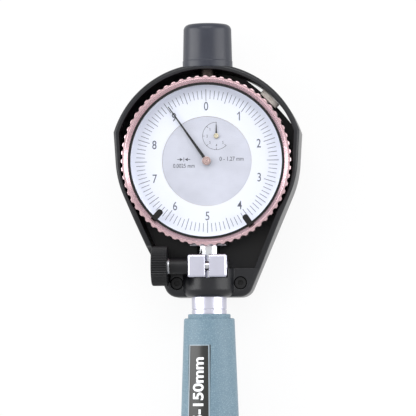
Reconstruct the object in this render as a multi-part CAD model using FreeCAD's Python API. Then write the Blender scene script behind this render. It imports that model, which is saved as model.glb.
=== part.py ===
import FreeCAD, Part
import math
import os

# Dial bore gauge: a dial indicator in a black guard, on a long tube with a
# measuring head. It lies on its back with the dial up. Lengths in millimetres.
# The model is drawn about the centre of the dial: X to the right on the dial,
# Y up along the tube axis, Z out of the dial. The tube axis is the line x = z = 0.

V = FreeCAD.Vector
X_AXIS = V(1, 0, 0)
Y_AXIS = V(0, 1, 0)
Z_AXIS = V(0, 0, 1)
FULL_TURN = 360.0

# Fits
SEAT_GAP = 0.02
RUNNING_GAP = 0.03
SIDE_GAP = 0.1
PUSH_GAP = 0.05
WIRE_SIDES = 8

# Guard
GUARD_BACK = 13.0
GUARD_FLOOR = 2.2
GUARD_SPACE = 2.45
GUARD_WALL = 1.8
GUARD_RIM_FRONT = 9.0
GUARD_LOW_FRONT = 2.75
RIM_SLOPE_UP = 12.2
SHOULDER_Y = 9.9
SHOULDER_ROUND = 3.0
WAIST_IN = 2.52
WAIST_Y = -6.2
WAIST_ROUND = 33.0
CLAMP_REACH = 14.2
BOTTOM_X = 13.4
BOTTOM_ROUND = 4.5
GUARD_EDGE_ROUND = 1.0
WINDOW_ANGLE = 45.0
WINDOW_DEPTH = 3.1
WINDOW_INNER_ROUND = 76.0

# Saddle block that closes the bottom of the guard
SADDLE_LENGTH = 9.6
SADDLE_EDGE_ROUND = 1.8
SADDLE_BOSS_RADIUS = 9.0
SADDLE_BOSS_ROUND = 2.6
GUARD_SCREW_X = 10.7
GUARD_SCREW_UP = 4.7
GUARD_SCREW_HEAD = 2.1
GUARD_SCREW_SHANK = 1.25
GUARD_SCREW_SOCKET = 1.0
GUARD_SCREW_SUNK = 0.6
GUARD_SCREW_HEAD_LENGTH = 2.2
GUARD_SCREW_BITE = 1.4

# Cap on top of the guard
CAP_RISE = 14.0
CAP_RADIUS = 8.4
CAP_FOOT = 2.4
CAP_FOOT_STEP = 0.12
CAP_TOP_RADIUS = 8.0
CAP_EDGE_ROUND = 2.0
CAP_DOME = 0.5
CAP_PLUG_RADIUS = 4.9
CAP_BORE_RADIUS = 3.6
CAP_ROOF = 4.9

# Stem clamp
EAR_HALF_WIDTH = 6.55
EAR_FRONT = 10.2
EAR_GAP = 2.75
EAR_LENGTH = 7.6
EAR_EDGE = 0.45
EAR_ROUND = 0.7
EAR_SLOT = 1.35
SHANK_RADIUS = 5.85
SHANK_DROP = 5.7
SPIGOT_LENGTH = 11.4
CLAMP_ROD_BORE = 3.0

# Clamp screw
CLAMP_Z = 7.4
CLAMP_DROP = 3.8
CLAMP_SHANK_RADIUS = 1.5
SLEEVE_RADIUS = 2.85
SLEEVE_LENGTH = 6.05
CLAMP_COLLAR_LENGTH = 0.7
KNOB_RADIUS = 6.65
KNOB_LENGTH = 5.3
KNOB_TEETH = 48
KNOB_GROOVE = 0.3
KNOB_EDGE = 0.6
KNOB_SPACE = 0.5

# Grip and tube
GRIP_STEP_RADIUS = 7.15
GRIP_STEP_LENGTH = 1.4
GRIP_TOP_RADIUS = 8.5
GRIP_BOTTOM_RADIUS = 11.9
GRIP_BODY_LENGTH = 94.0
GRIP_RING_RADIUS = 10.6
GRIP_RING_LENGTH = 8.0
LABEL_ANGLE = -20.6
LABEL_HALF_WIDTH = 4.0
LABEL_DROP = 8.85
LABEL_LENGTH = 34.0
LABEL_THICKNESS = 0.4
LABEL_PROUD = 0.04
TUBE_RADIUS = 5.0
TUBE_BORE = 3.4
TUBE_LENGTH = 238.4

# Push rod
ROD_RADIUS = 1.5
ROD_HEAD_RADIUS = 2.6
ROD_HEAD_LENGTH = 1.2
ROD_COLLAR_RADIUS = 3.0
ROD_COLLAR_LENGTH = 2.0
ROD_SPRING_LENGTH = 28.0
ROD_SPRING_RADIUS = 2.4
ROD_SPRING_WIRE = 0.25
ROD_SPRING_PITCH = 2.8
ROD_GUIDE_LENGTH = 6.0
ROD_GUIDE_COUNT = 3
ROD_GUIDE_FIRST = 40.0
ROD_GUIDE_LAST = 12.0

# Measuring head
HEAD_HALF_X = 8.0
HEAD_HALF_Z = 9.5
HEAD_NECK_RADIUS = 7.0
HEAD_NECK_LENGTH = 10.0
HEAD_SOCKET = 9.0
HEAD_FOOT = 6.2
HEAD_EDGE = 0.8
END_CAP_THICKNESS = 1.8
END_SCREW_RADIUS = 0.9
END_SCREW_HEAD = 1.7
END_SCREW_CLEAR = 1.5
END_SCREW_INSET_X = 2.2
END_SCREW_INSET_Z = 2.2
MEASURE_DROP = 12.0
STYLUS_TRAVEL = 1.27
STYLUS_RADIUS = 2.0
STYLUS_TIP = -18.2
STYLUS_TIP_LENGTH = 2.4
STYLUS_TIP_RADIUS = 1.4
STYLUS_NOSE_RADIUS = 0.6
STYLUS_NOSE_LENGTH = 1.2
STYLUS_BUSH_RADIUS = 3.5
STYLUS_BUSH_OUT = 2.5
CRANK_ARM = 4.5
CRANK_BALL = 1.0
CRANK_HALF_WIDTH = 0.7
CRANK_HALF_THICKNESS = 1.5
CRANK_HUB = 1.4
CRANK_PIN_RADIUS = 0.8
CRANK_PIN_HALF = 6.5
CAVITY_MARGIN = 0.35

# Centring bridge
BRIDGE_THICKNESS = 2.0
BRIDGE_HALF_HEIGHT = 5.0
BRIDGE_TRAVEL = 2.9
BRIDGE_STYLUS_GAP = 0.2
SHOE_RADIUS = 2.0
SHOE_OUT = 2.5
SHOE_SHANK_RADIUS = 1.2
GUIDE_ROD_RADIUS = 1.2
GUIDE_ROD_Z = 6.5
GUIDE_ROD_REACH = 15.0
BRIDGE_SPRING_RADIUS = 1.65
BRIDGE_SPRING_WIRE = 0.17
BRIDGE_SPRING_POCKET = 2.0
BRIDGE_POCKET_DEPTH = 6.0
BRIDGE_SPRING_PITCH = 1.1

# Anvil
ANVIL_RADIUS = 2.5
ANVIL_TIP = 17.5
ANVIL_TIP_LENGTH = 3.0
ANVIL_TIP_RADIUS = 1.6
ANVIL_DEPTH = 4.4
NUT_THICKNESS = 2.5
NUT_HALF_FLATS = 4.4

# Indicator case
CASE_RADIUS = 26.8
CASE_WALL = 1.8
CASE_BACK = -8.5
CASE_SHOULDER = 4.2
NECK_STEP = 1.0
NECK_TOP = 6.2
LEDGE_WIDTH = 4.0
LEDGE_BOTTOM = 0.2
LEDGE_TOP = 2.4
BOSS_HALF_WIDTH = 6.0
BOSS_BACK = -6.0
BOSS_PROUD = 1.4
TOP_BOSS_HALF_WIDTH = 4.6
TOP_BOSS_BACK = -4.6
TOP_BOSS_PROUD = 0.8
COVER_THICKNESS = 1.2
COVER_SCREW_RADIUS = 0.5
COVER_SCREW_HEAD = 0.85
COVER_SCREW_COUNT = 4
COVER_SCREW_DEPTH = 3.0
STEM_RADIUS = 4.0
STEM_SHORT = 1.4
UPPER_BUSH_RADIUS = 3.2

# Bezel and crystal
BEZEL_PROUD = 1.65
BEZEL_SCALLOPS = 64
BEZEL_SCALLOP_DEPTH = 0.6
BEZEL_SCALLOP_RADIUS = 1.1
BEZEL_FRONT = 12.4
BEZEL_SPACE = 0.5
BEZEL_STEP_IN = 1.0
BEZEL_STEP = 0.5
BEZEL_LEDGE_WIDTH = 1.4
BEZEL_LIP = 2.3
BEZEL_LEDGE_TOP = 7.0
CRYSTAL_SEAT = 9.4
CRYSTAL_THICKNESS = 1.2
CRYSTAL_RING_WIDTH = 0.8
CRYSTAL_RING_THICKNESS = 0.5
DIAL_THICKNESS = 0.4
DIAL_BORE = 15.0
CENTRE_PLATE_GAP = 0.08
CENTRE_PLATE_THICKNESS = 0.5
MARKER_HALF_WIDTH = 1.0
MARKER_REACH = 3.1
MARKER_THICKNESS = 0.5
MARKER_GAP = 0.06
MARKER_LEFT_ANGLE = -132.2
MARKER_RIGHT_ANGLE = -55.5

# Bezel lock screw
LOCK_Z = 1.5
LOCK_SHANK_RADIUS = 1.1
LOCK_TIP_GAP = 0.2
LOCK_HEAD_RADIUS = 3.7
LOCK_HEAD_FREE = 0.35
LOCK_HEAD_TEETH = 40
LOCK_HEAD_GROOVE = 0.18
LOCK_HEAD_GAP = 0.2
SHOE_HALF_WIDTH = 2.6
SHOE_LOW = -1.2

# Pointer and counter hand
POINTER_READING = 325.1
POINTER_SHORT = 3.1
POINTER_ROOT = 0.53
POINTER_END = 0.15
POINTER_BOTTOM = 8.3
POINTER_THICKNESS = 0.2
POINTER_HUB_RADIUS = 1.45
POINTER_HUB_HEIGHT = 1.0
POINTER_HUB_BOTTOM = 8.0
COUNTER_LENGTH = 3.9
COUNTER_HUB_RADIUS = 0.85
COUNTER_HAND_BOTTOM = 7.5
COUNTER_HAND_THICKNESS = 0.15
COUNTER_HUB_HEIGHT = 0.4

# Gear train
MODULE = 0.2
TURN_TRAVEL = 0.254
RACK_PINION_TEETH = 14
RACK_WHEEL_TEETH = 72
MIDDLE_PINION_TEETH = 12
MIDDLE_WHEEL_TEETH = 60
CENTRE_PINION_TEETH = 10
COUNTER_WHEEL_TEETH = 80
RACK_LINE = 1.6
RACK_WHEEL_Y = -9.0
RACK_TEETH = 17
COUNTER_ANGLE = 68.8
TOOTH_ROOT_SHARE = 0.235
TOOTH_TIP_SHARE = 0.085
TOOTH_RISE = 0.9
TOOTH_DROP = 1.3
PLATE_THICKNESS = 0.8
MAIN_PLATE_GAP = 1.5
BRIDGE_PLATE_RADIUS = 17.4
BRIDGE_PLATE_THICKNESS = 0.6
LEVEL_GAP = 0.25
LEVEL_STEP = 0.9
WHEEL_THICKNESS = 0.6
ARBOR_RADIUS = 0.5
JEWEL_RADIUS = 1.0
WHEEL_HUB_RADIUS = 1.0
WHEEL_HOLES = 5
WHEEL_SPOKE = 0.7
PILLAR_RADIUS = 1.2
PILLAR_SCREW_RADIUS = 0.5
PILLAR_SCREW_HEAD = 1.0
PILLAR_SCREW_HEAD_HEIGHT = 0.5
PILLAR_PLACES = ((-11.0, -9.0), (13.5, -8.0), (13.3, 6.5), (-10.5, 9.0))
PLATE_SCREW_RADIUS = 0.6
PLATE_SCREW_HEAD = 1.1
PLATE_SCREW_HEAD_HEIGHT = 0.7
PLATE_SCREW_IN = 1.2
PLATE_SCREW_COUNT = 3
PLATE_SCREW_BITE = 1.6
HAIRSPRING_INNER = 1.05
HAIRSPRING_STEP = 0.62
HAIRSPRING_TURNS = 5
HAIRSPRING_THICKNESS = 0.08
HAIRSPRING_HEIGHT = 0.5
STUD_RADIUS = 0.5

# Spindle
SPINDLE_RADIUS = 2.2
SPINDLE_RISE = 8.4
SPINDLE_SHORT = 2.0
CONTACT_RADIUS = 1.9
CONTACT_LENGTH = 6.0
CONTACT_TIP_RADIUS = 1.2
SPINDLE_CAP_RADIUS = 2.9
SPINDLE_CAP_GAP = 0.3
SPINDLE_CAP_TOP = 0.8
GUIDE_PIN_RADIUS = 0.6
GUIDE_PIN_Y = 8.0
GUIDE_PIN_REACH = 8.5
GUIDE_FORK_X = 4.0
GUIDE_FORK_WALL = 0.9
RETURN_SPRING_RADIUS = 1.0
RETURN_SPRING_WIRE = 0.15
RETURN_SPRING_PITCH = 1.1
RETURN_SPRING_X = -7.4
RETURN_POST_RADIUS = 0.7
RETURN_POST_Y = -16.0

# Places that follow from the sizes above
CASE_BORE = CASE_RADIUS - CASE_WALL
NECK_RADIUS = CASE_RADIUS - NECK_STEP
LEDGE_RADIUS = CASE_BORE - LEDGE_WIDTH
BOSS_OUT = CASE_RADIUS + BOSS_PROUD
TOP_BOSS_OUT = CASE_RADIUS + TOP_BOSS_PROUD
BEZEL_RADIUS = CASE_RADIUS + BEZEL_PROUD
BEZEL_STEP_RADIUS = BEZEL_RADIUS - BEZEL_STEP_IN
BEZEL_LEDGE_RADIUS = NECK_RADIUS - BEZEL_LEDGE_WIDTH
CRYSTAL_RADIUS = BEZEL_RADIUS - BEZEL_LIP
CRYSTAL_RING_BORE = CRYSTAL_RADIUS - CRYSTAL_RING_WIDTH
CENTRE_PLATE_RADIUS = DIAL_BORE - CENTRE_PLATE_GAP
MARKER_INNER = CRYSTAL_RING_BORE - MARKER_REACH
POINTER_LENGTH = CRYSTAL_RING_BORE - POINTER_SHORT
MAIN_PLATE_RADIUS = CASE_BORE - MAIN_PLATE_GAP
PLATE_SCREW_CIRCLE = MAIN_PLATE_RADIUS - PLATE_SCREW_IN
LOCK_INNER = CASE_BORE + LOCK_TIP_GAP
LOCK_HEAD_LENGTH = GUARD_SPACE - LOCK_HEAD_GAP - LOCK_HEAD_FREE
GUARD_RADIUS = BEZEL_RADIUS + GUARD_SPACE + GUARD_WALL
WAIST_X = GUARD_RADIUS - WAIST_IN
WINDOW_INNER = GUARD_RADIUS - WINDOW_DEPTH
CAP_SEAT = math.sqrt(GUARD_RADIUS ** 2 - CAP_RADIUS ** 2)
CAP_TOP = GUARD_RADIUS + CAP_RISE
CAP_BORE_TOP = CAP_TOP - CAP_ROOF
EAR_TOP = -BEZEL_RADIUS - EAR_GAP
GUARD_BOTTOM = EAR_TOP - CLAMP_REACH
RIM_SLOPE_TOP = EAR_TOP + RIM_SLOPE_UP
STEM_BOTTOM = GUARD_BOTTOM + STEM_SHORT
SPINDLE_TOP = TOP_BOSS_OUT + SPINDLE_RISE
SPINDLE_BOTTOM = STEM_BOTTOM + SPINDLE_SHORT
CONTACT_TIP = SPINDLE_BOTTOM - CONTACT_LENGTH
FLOOR_TOP = GUARD_FLOOR - GUARD_BACK
SADDLE_TOP = GUARD_BOTTOM + SADDLE_LENGTH
EAR_BOTTOM = EAR_TOP - EAR_LENGTH
CLAMP_Y = EAR_TOP - CLAMP_DROP
SLEEVE_END = -EAR_HALF_WIDTH - SLEEVE_LENGTH
KNOB_INNER = SLEEVE_END - CLAMP_COLLAR_LENGTH
KNOB_OUTER = KNOB_INNER - KNOB_LENGTH
GRIP_TOP = GUARD_BOTTOM - SHANK_DROP
SPIGOT_END = GRIP_TOP - SPIGOT_LENGTH
GRIP_BODY_TOP = GRIP_TOP - GRIP_STEP_LENGTH
GRIP_BODY_END = GRIP_BODY_TOP - GRIP_BODY_LENGTH
GRIP_END = GRIP_BODY_END - GRIP_RING_LENGTH
TUBE_END = GRIP_TOP - TUBE_LENGTH
HEAD_TOP = TUBE_END + HEAD_SOCKET
HEAD_BLOCK_TOP = HEAD_TOP - HEAD_NECK_LENGTH
HEAD_BODY_LENGTH = MEASURE_DROP + HEAD_FOOT
HEAD_BLOCK_END = HEAD_BLOCK_TOP - HEAD_BODY_LENGTH
HEAD_END = HEAD_BLOCK_END - END_CAP_THICKNESS
MEASURE_Y = HEAD_BLOCK_TOP - MEASURE_DROP
END_SCREW_LENGTH = END_CAP_THICKNESS + HEAD_FOOT - BRIDGE_SPRING_POCKET - END_SCREW_CLEAR
CRANK_X = -CRANK_ARM
CRANK_Y = MEASURE_Y + CRANK_ARM
STYLUS_INNER = CRANK_X - CRANK_BALL - PUSH_GAP
BUSH_INNER = CRANK_X - CRANK_HUB - 2 * SIDE_GAP
ROD_END = CRANK_Y + CRANK_BALL + PUSH_GAP
ROD_TOP = CONTACT_TIP - PUSH_GAP
ROD_COLLAR_TOP = SPIGOT_END - ROD_SPRING_LENGTH
ROD_GUIDE_TOP = ROD_COLLAR_TOP - ROD_COLLAR_LENGTH - ROD_GUIDE_FIRST
ROD_GUIDE_SPACING = (ROD_GUIDE_TOP - HEAD_TOP - ROD_GUIDE_LAST) / (ROD_GUIDE_COUNT - 1)
BRIDGE_INNER = -HEAD_HALF_X - BRIDGE_TRAVEL - SIDE_GAP
BRIDGE_OUTER = BRIDGE_INNER - BRIDGE_THICKNESS
SHOE_Z = GUARD_BACK - SHOE_RADIUS
BEZEL_BACK = CASE_SHOULDER + SIDE_GAP
CRYSTAL_TOP = CRYSTAL_SEAT + CRYSTAL_THICKNESS
CRYSTAL_RING_TOP = CRYSTAL_TOP + CRYSTAL_RING_THICKNESS
MAIN_PLATE_TOP = LEDGE_TOP + PLATE_THICKNESS
LEVEL_1 = MAIN_PLATE_TOP + LEVEL_GAP
LEVEL_2 = LEVEL_1 + LEVEL_STEP
LEVEL_3 = LEVEL_2 + LEVEL_STEP
BRIDGE_PLATE_BACK = LEVEL_3 + WHEEL_THICKNESS + LEVEL_GAP
BRIDGE_PLATE_TOP = BRIDGE_PLATE_BACK + BRIDGE_PLATE_THICKNESS
CENTRE_PLATE_TOP = BRIDGE_PLATE_TOP + CENTRE_PLATE_THICKNESS
GEAR_RATIO = RACK_WHEEL_TEETH / MIDDLE_PINION_TEETH * MIDDLE_WHEEL_TEETH / CENTRE_PINION_TEETH
RACK_PITCH = TURN_TRAVEL * GEAR_RATIO / RACK_PINION_TEETH
RACK_MODULE = RACK_PITCH / math.pi
RACK_WHEEL_X = RACK_LINE + RACK_MODULE * RACK_PINION_TEETH / 2
CENTRE_PLACE = V(0, 0, 0)
RACK_WHEEL_PLACE = V(RACK_WHEEL_X, RACK_WHEEL_Y, 0)
COUNTER_REACH = MODULE * (CENTRE_PINION_TEETH + COUNTER_WHEEL_TEETH) / 2
COUNTER_PLACE = V(COUNTER_REACH * math.cos(math.radians(COUNTER_ANGLE)),
                  COUNTER_REACH * math.sin(math.radians(COUNTER_ANGLE)), 0)

# The finished gauge is set down on its back and centred along its length
LIFT = GUARD_BACK
SHIFT = -(CAP_TOP + HEAD_END) / 2


def block(x0, x1, y0, y1, z0, z1):
    """Rectangular block between two corners."""
    return Part.makeBox(x1 - x0, y1 - y0, z1 - z0, V(x0, y0, z0))


def bar_x(radius, x0, x1, y, z):
    """Round bar along X."""
    return Part.makeCylinder(radius, x1 - x0, V(x0, y, z), X_AXIS)


def bar_y(radius, y0, y1, x=0.0, z=0.0):
    """Round bar along Y."""
    return Part.makeCylinder(radius, y1 - y0, V(x, y0, z), Y_AXIS)


def bar_z(radius, z0, z1, x=0.0, y=0.0):
    """Round bar along Z."""
    return Part.makeCylinder(radius, z1 - z0, V(x, y, z0), Z_AXIS)


def rounded_loop(corners, place):
    """Closed loop through corners (u, v) or (u, v, radius), rounded by tangent arcs."""
    count = len(corners)
    stations = []
    for index in range(count):
        here = V(corners[index][0], corners[index][1], 0)
        radius = corners[index][2] if len(corners[index]) > 2 else 0.0
        before = V(corners[index - 1][0], corners[index - 1][1], 0)
        after = V(corners[(index + 1) % count][0], corners[(index + 1) % count][1], 0)
        if radius == 0.0:
            stations.append((here, None, here))
            continue
        back = (before - here).normalize()
        ahead = (after - here).normalize()
        half = back.getAngle(ahead) / 2
        reach = radius / math.tan(half)
        middle = (back + ahead).normalize()
        centre = here + middle * (radius / math.sin(half))
        stations.append((here + back * reach, centre - middle * radius, here + ahead * reach))
    edges = []
    for index in range(count):
        start, top, end = stations[index]
        if top is not None:
            edges.append(Part.Arc(place(start), place(top), place(end)).toShape())
        following = stations[(index + 1) % count][0]
        if end.distanceToPoint(following) > 1e-6:
            edges.append(Part.LineSegment(place(end), place(following)).toShape())
    return Part.Wire(edges)


def prism(corners, z0, z1):
    """Plate with a rounded outline between two levels of Z."""
    loop = rounded_loop(corners, lambda p: V(p.x, p.y, z0))
    return Part.Face(loop).extrude(V(0, 0, z1 - z0))


def prism_x(corners, x0, x1):
    """Plate whose outline (y, z) is drawn across X."""
    loop = rounded_loop(corners, lambda p: V(x0, p.x, p.y))
    return Part.Face(loop).extrude(V(x1 - x0, 0, 0))


def turned_x(corners, y, z):
    """Solid turned about a line along X from corners (x, radius)."""
    loop = rounded_loop(corners, lambda p: V(p.x, y + p.y, z))
    return Part.Face(loop).revolve(V(0, y, z), X_AXIS, FULL_TURN)


def turned_y(corners, x=0.0, z=0.0):
    """Solid turned about a line along Y from corners (radius, y)."""
    loop = rounded_loop(corners, lambda p: V(x + p.x, p.y, z))
    return Part.Face(loop).revolve(V(x, 0, z), Y_AXIS, FULL_TURN)


def turned_z(corners, x=0.0, y=0.0):
    """Solid turned about a line along Z from corners (radius, z)."""
    loop = rounded_loop(corners, lambda p: V(x + p.x, y, p.y))
    return Part.Face(loop).revolve(V(x, y, 0), Z_AXIS, FULL_TURN)


def polar(radius, degrees):
    """Point on a circle about the dial centre."""
    return V(radius * math.cos(math.radians(degrees)), radius * math.sin(math.radians(degrees)), 0)


def spun(shape, degrees, centre=V(0, 0, 0), axis=Z_AXIS):
    """Copy of a shape turned about an axis."""
    copy = shape.copy()
    copy.rotate(centre, axis, degrees)
    return copy


def coil(radius, wire, pitch, length, start, along):
    """Open coil spring along a direction: half circles, each tilted to meet the next."""
    turns = max(2, round(length / pitch))
    rise = (length - 2 * wire) / turns / 2
    halves = []
    for step in range(2 * turns):
        side = 1 if step % 2 == 0 else -1
        first = V(side * radius, 0, wire + rise * step)
        last = V(-side * radius, 0, wire + rise * (step + 1))
        top = (first + last) / 2 + V(0, side * math.hypot(radius, rise / 2), 0)
        halves.append(Part.Arc(first, top, last).toShape())
    corners = []
    for step in range(WIRE_SIDES + 1):
        angle = 2 * math.pi * step / WIRE_SIDES
        corners.append(V(radius + wire * math.cos(angle), 0, wire + wire * math.sin(angle)))
    spring = Part.Wire(halves).makePipeShell([Part.makePolygon(corners)], True, False)
    place = FreeCAD.Placement(start, FreeCAD.Rotation(Z_AXIS, along))
    return spring.transformed(place.toMatrix())


# Guard

def guard_outline(z0, z1):
    """Full outline of the guard: an arch over the dial and a funnel below it."""
    shoulder_x = math.sqrt(GUARD_RADIUS ** 2 - SHOULDER_Y ** 2)
    arch = bar_z(GUARD_RADIUS, z0, z1)
    arch = arch.common(block(-2 * GUARD_RADIUS, 2 * GUARD_RADIUS, SHOULDER_Y, 2 * GUARD_RADIUS, z0, z1))
    funnel = prism([(-shoulder_x, SHOULDER_Y), (-WAIST_X, WAIST_Y, WAIST_ROUND),
                    (-BOTTOM_X, GUARD_BOTTOM, BOTTOM_ROUND), (BOTTOM_X, GUARD_BOTTOM, BOTTOM_ROUND),
                    (WAIST_X, WAIST_Y, WAIST_ROUND), (shoulder_x, SHOULDER_Y)], z0, z1)
    return arch.fuse(funnel).removeSplitter()


def rim_front_cut():
    """Space in front of the rim, which steps down beside the stem."""
    wide = 2 * GUARD_RADIUS
    return prism_x([(wide, GUARD_RIM_FRONT), (wide, wide), (2 * GUARD_BOTTOM, wide),
                    (2 * GUARD_BOTTOM, GUARD_LOW_FRONT), (SADDLE_TOP, GUARD_LOW_FRONT, 6.0),
                    (RIM_SLOPE_TOP, GUARD_RIM_FRONT, 6.0)], -wide, wide)


def knob_space():
    """Clear space round the knob, the sleeve and the clamp screw."""
    knob = bar_x(KNOB_RADIUS + KNOB_SPACE, 2 * KNOB_OUTER, KNOB_INNER + KNOB_SPACE, CLAMP_Y, CLAMP_Z)
    sleeve = bar_x(SLEEVE_RADIUS + SIDE_GAP, KNOB_INNER, 0, CLAMP_Y, CLAMP_Z)
    return knob.fuse(sleeve)


def guard_shell():
    """Back plate and rim of the guard, with a window beside the bezel lock screw and a flat for the cap."""
    outer = guard_outline(-GUARD_BACK, GUARD_RIM_FRONT).cut(rim_front_cut())
    tips = [e for e in outer.Edges if e.BoundBox.ZMin > GUARD_LOW_FRONT - 0.01]
    outer = outer.makeFillet(GUARD_EDGE_ROUND, tips)
    backs = [e for e in outer.Edges if e.BoundBox.ZMax < 0.01 - GUARD_BACK]
    outer = outer.makeFillet(GUARD_EDGE_ROUND / 2, backs)
    face = [f for f in guard_outline(0, 1).Faces if f.BoundBox.ZMax < 0.01][0]
    hollow = face.makeOffset2D(-GUARD_WALL)
    hollow.translate(V(0, 0, FLOOR_TOP))
    shell = outer.cut(hollow.extrude(V(0, 0, 2 * GUARD_BACK + GUARD_RIM_FRONT)))
    wide = 2 * GUARD_RADIUS
    shell = shell.cut(block(-wide, wide, 2 * GUARD_BOTTOM, SADDLE_TOP, FLOOR_TOP, wide))
    window = bar_z(GUARD_RADIUS - GUARD_WALL, -2 * GUARD_BACK, FLOOR_TOP)
    floor_edge = bar_z(WINDOW_INNER_ROUND, -2 * GUARD_BACK, FLOOR_TOP, WINDOW_INNER - WINDOW_INNER_ROUND)
    shell = shell.cut(window.cut(spun(floor_edge, WINDOW_ANGLE)))
    shell = shell.cut(block(-wide, wide, CAP_SEAT, wide, -wide, wide))
    shell = shell.cut(bar_z(BEZEL_RADIUS + BEZEL_SPACE, FLOOR_TOP, wide))
    shell = shell.cut(bar_y(CAP_PLUG_RADIUS + SEAT_GAP, 0, wide))
    shell = shell.cut(knob_space())
    for side in (-1, 1):
        hole = bar_z(GUARD_SCREW_SHANK, FLOOR_TOP - GUARD_SCREW_BITE, 0,
                     side * GUARD_SCREW_X, GUARD_BOTTOM + GUARD_SCREW_UP)
        shell = shell.cut(hole)
    return shell


def saddle_screw_seat():
    """Level of the counterbore floors in the saddle."""
    return GUARD_LOW_FRONT - GUARD_SCREW_SUNK - GUARD_SCREW_HEAD_LENGTH


def guard_saddle():
    """Block at the bottom of the guard, with a round boss over the clamp shank."""
    wide = 2 * GUARD_RADIUS
    plate = guard_outline(FLOOR_TOP, GUARD_LOW_FRONT)
    plate = plate.common(block(-wide, wide, 2 * GUARD_BOTTOM, SADDLE_TOP, -wide, wide))
    fronts = [e for e in plate.Edges
              if e.BoundBox.ZMin > GUARD_LOW_FRONT - 0.01 and e.BoundBox.YMin < SADDLE_TOP - 0.01]
    plate = plate.makeFillet(SADDLE_EDGE_ROUND, fronts)
    boss = turned_y([(0, GUARD_BOTTOM), (SADDLE_BOSS_RADIUS, GUARD_BOTTOM, SADDLE_BOSS_ROUND),
                     (SADDLE_BOSS_RADIUS, SADDLE_TOP), (0, SADDLE_TOP)])
    saddle = plate.fuse(boss).removeSplitter()
    saddle = saddle.cut(bar_y(SHANK_RADIUS + SEAT_GAP, 2 * GUARD_BOTTOM, 0))
    notch = EAR_HALF_WIDTH + SIDE_GAP
    saddle = saddle.cut(block(-notch, notch, EAR_BOTTOM - SIDE_GAP, 0, -notch, wide))
    saddle = saddle.cut(knob_space())
    for side in (-1, 1):
        x = side * GUARD_SCREW_X
        y = GUARD_BOTTOM + GUARD_SCREW_UP
        saddle = saddle.cut(bar_z(GUARD_SCREW_SHANK + SIDE_GAP, -wide, wide, x, y))
        saddle = saddle.cut(bar_z(GUARD_SCREW_HEAD + SIDE_GAP, saddle_screw_seat(), wide, x, y))
    return saddle


def socket_screw(head, shank, socket, head_length, z0, z1, x, y):
    """Socket head screw along Z with its head at the top."""
    screw = bar_z(shank, z0, z1 - head_length, x, y)
    screw = screw.fuse(turned_z([(0, z1 - head_length), (head, z1 - head_length),
                                 (head, z1, 0.3), (0, z1)], x, y))
    corners = []
    for step in range(6):
        angle = math.radians(60 * step)
        corners.append((x + socket * math.cos(angle), y + socket * math.sin(angle)))
    return screw.cut(prism(corners, z1 - head_length / 2, z1 + head_length))


def guard_screws():
    """Two screws that hold the saddle on the back plate."""
    screws = []
    for side in (-1, 1):
        screws.append(socket_screw(GUARD_SCREW_HEAD, GUARD_SCREW_SHANK, GUARD_SCREW_SOCKET,
                                   GUARD_SCREW_HEAD_LENGTH, FLOOR_TOP - GUARD_SCREW_BITE,
                                   saddle_screw_seat() + GUARD_SCREW_HEAD_LENGTH,
                                   side * GUARD_SCREW_X, GUARD_BOTTOM + GUARD_SCREW_UP))
    return Part.makeCompound(screws)


def guard_cap():
    """Domed cap on the top of the guard, over the upper end of the spindle."""
    foot = CAP_SEAT + CAP_FOOT
    body = turned_y([(0, CAP_SEAT), (CAP_RADIUS, CAP_SEAT, 0.3), (CAP_RADIUS, foot, CAP_FOOT_STEP / 2),
                     (CAP_RADIUS - CAP_FOOT_STEP, foot),
                     (CAP_TOP_RADIUS, CAP_TOP - CAP_DOME, CAP_EDGE_ROUND),
                     (CAP_TOP_RADIUS - CAP_EDGE_ROUND * 1.5, CAP_TOP - CAP_DOME / 4, 6.0), (0, CAP_TOP)])
    plug = bar_y(CAP_PLUG_RADIUS, GUARD_RADIUS - GUARD_WALL, CAP_BORE_TOP)
    body = body.fuse(plug).removeSplitter()
    return body.cut(bar_y(CAP_BORE_RADIUS, 0, CAP_BORE_TOP))


# Stem clamp

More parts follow.
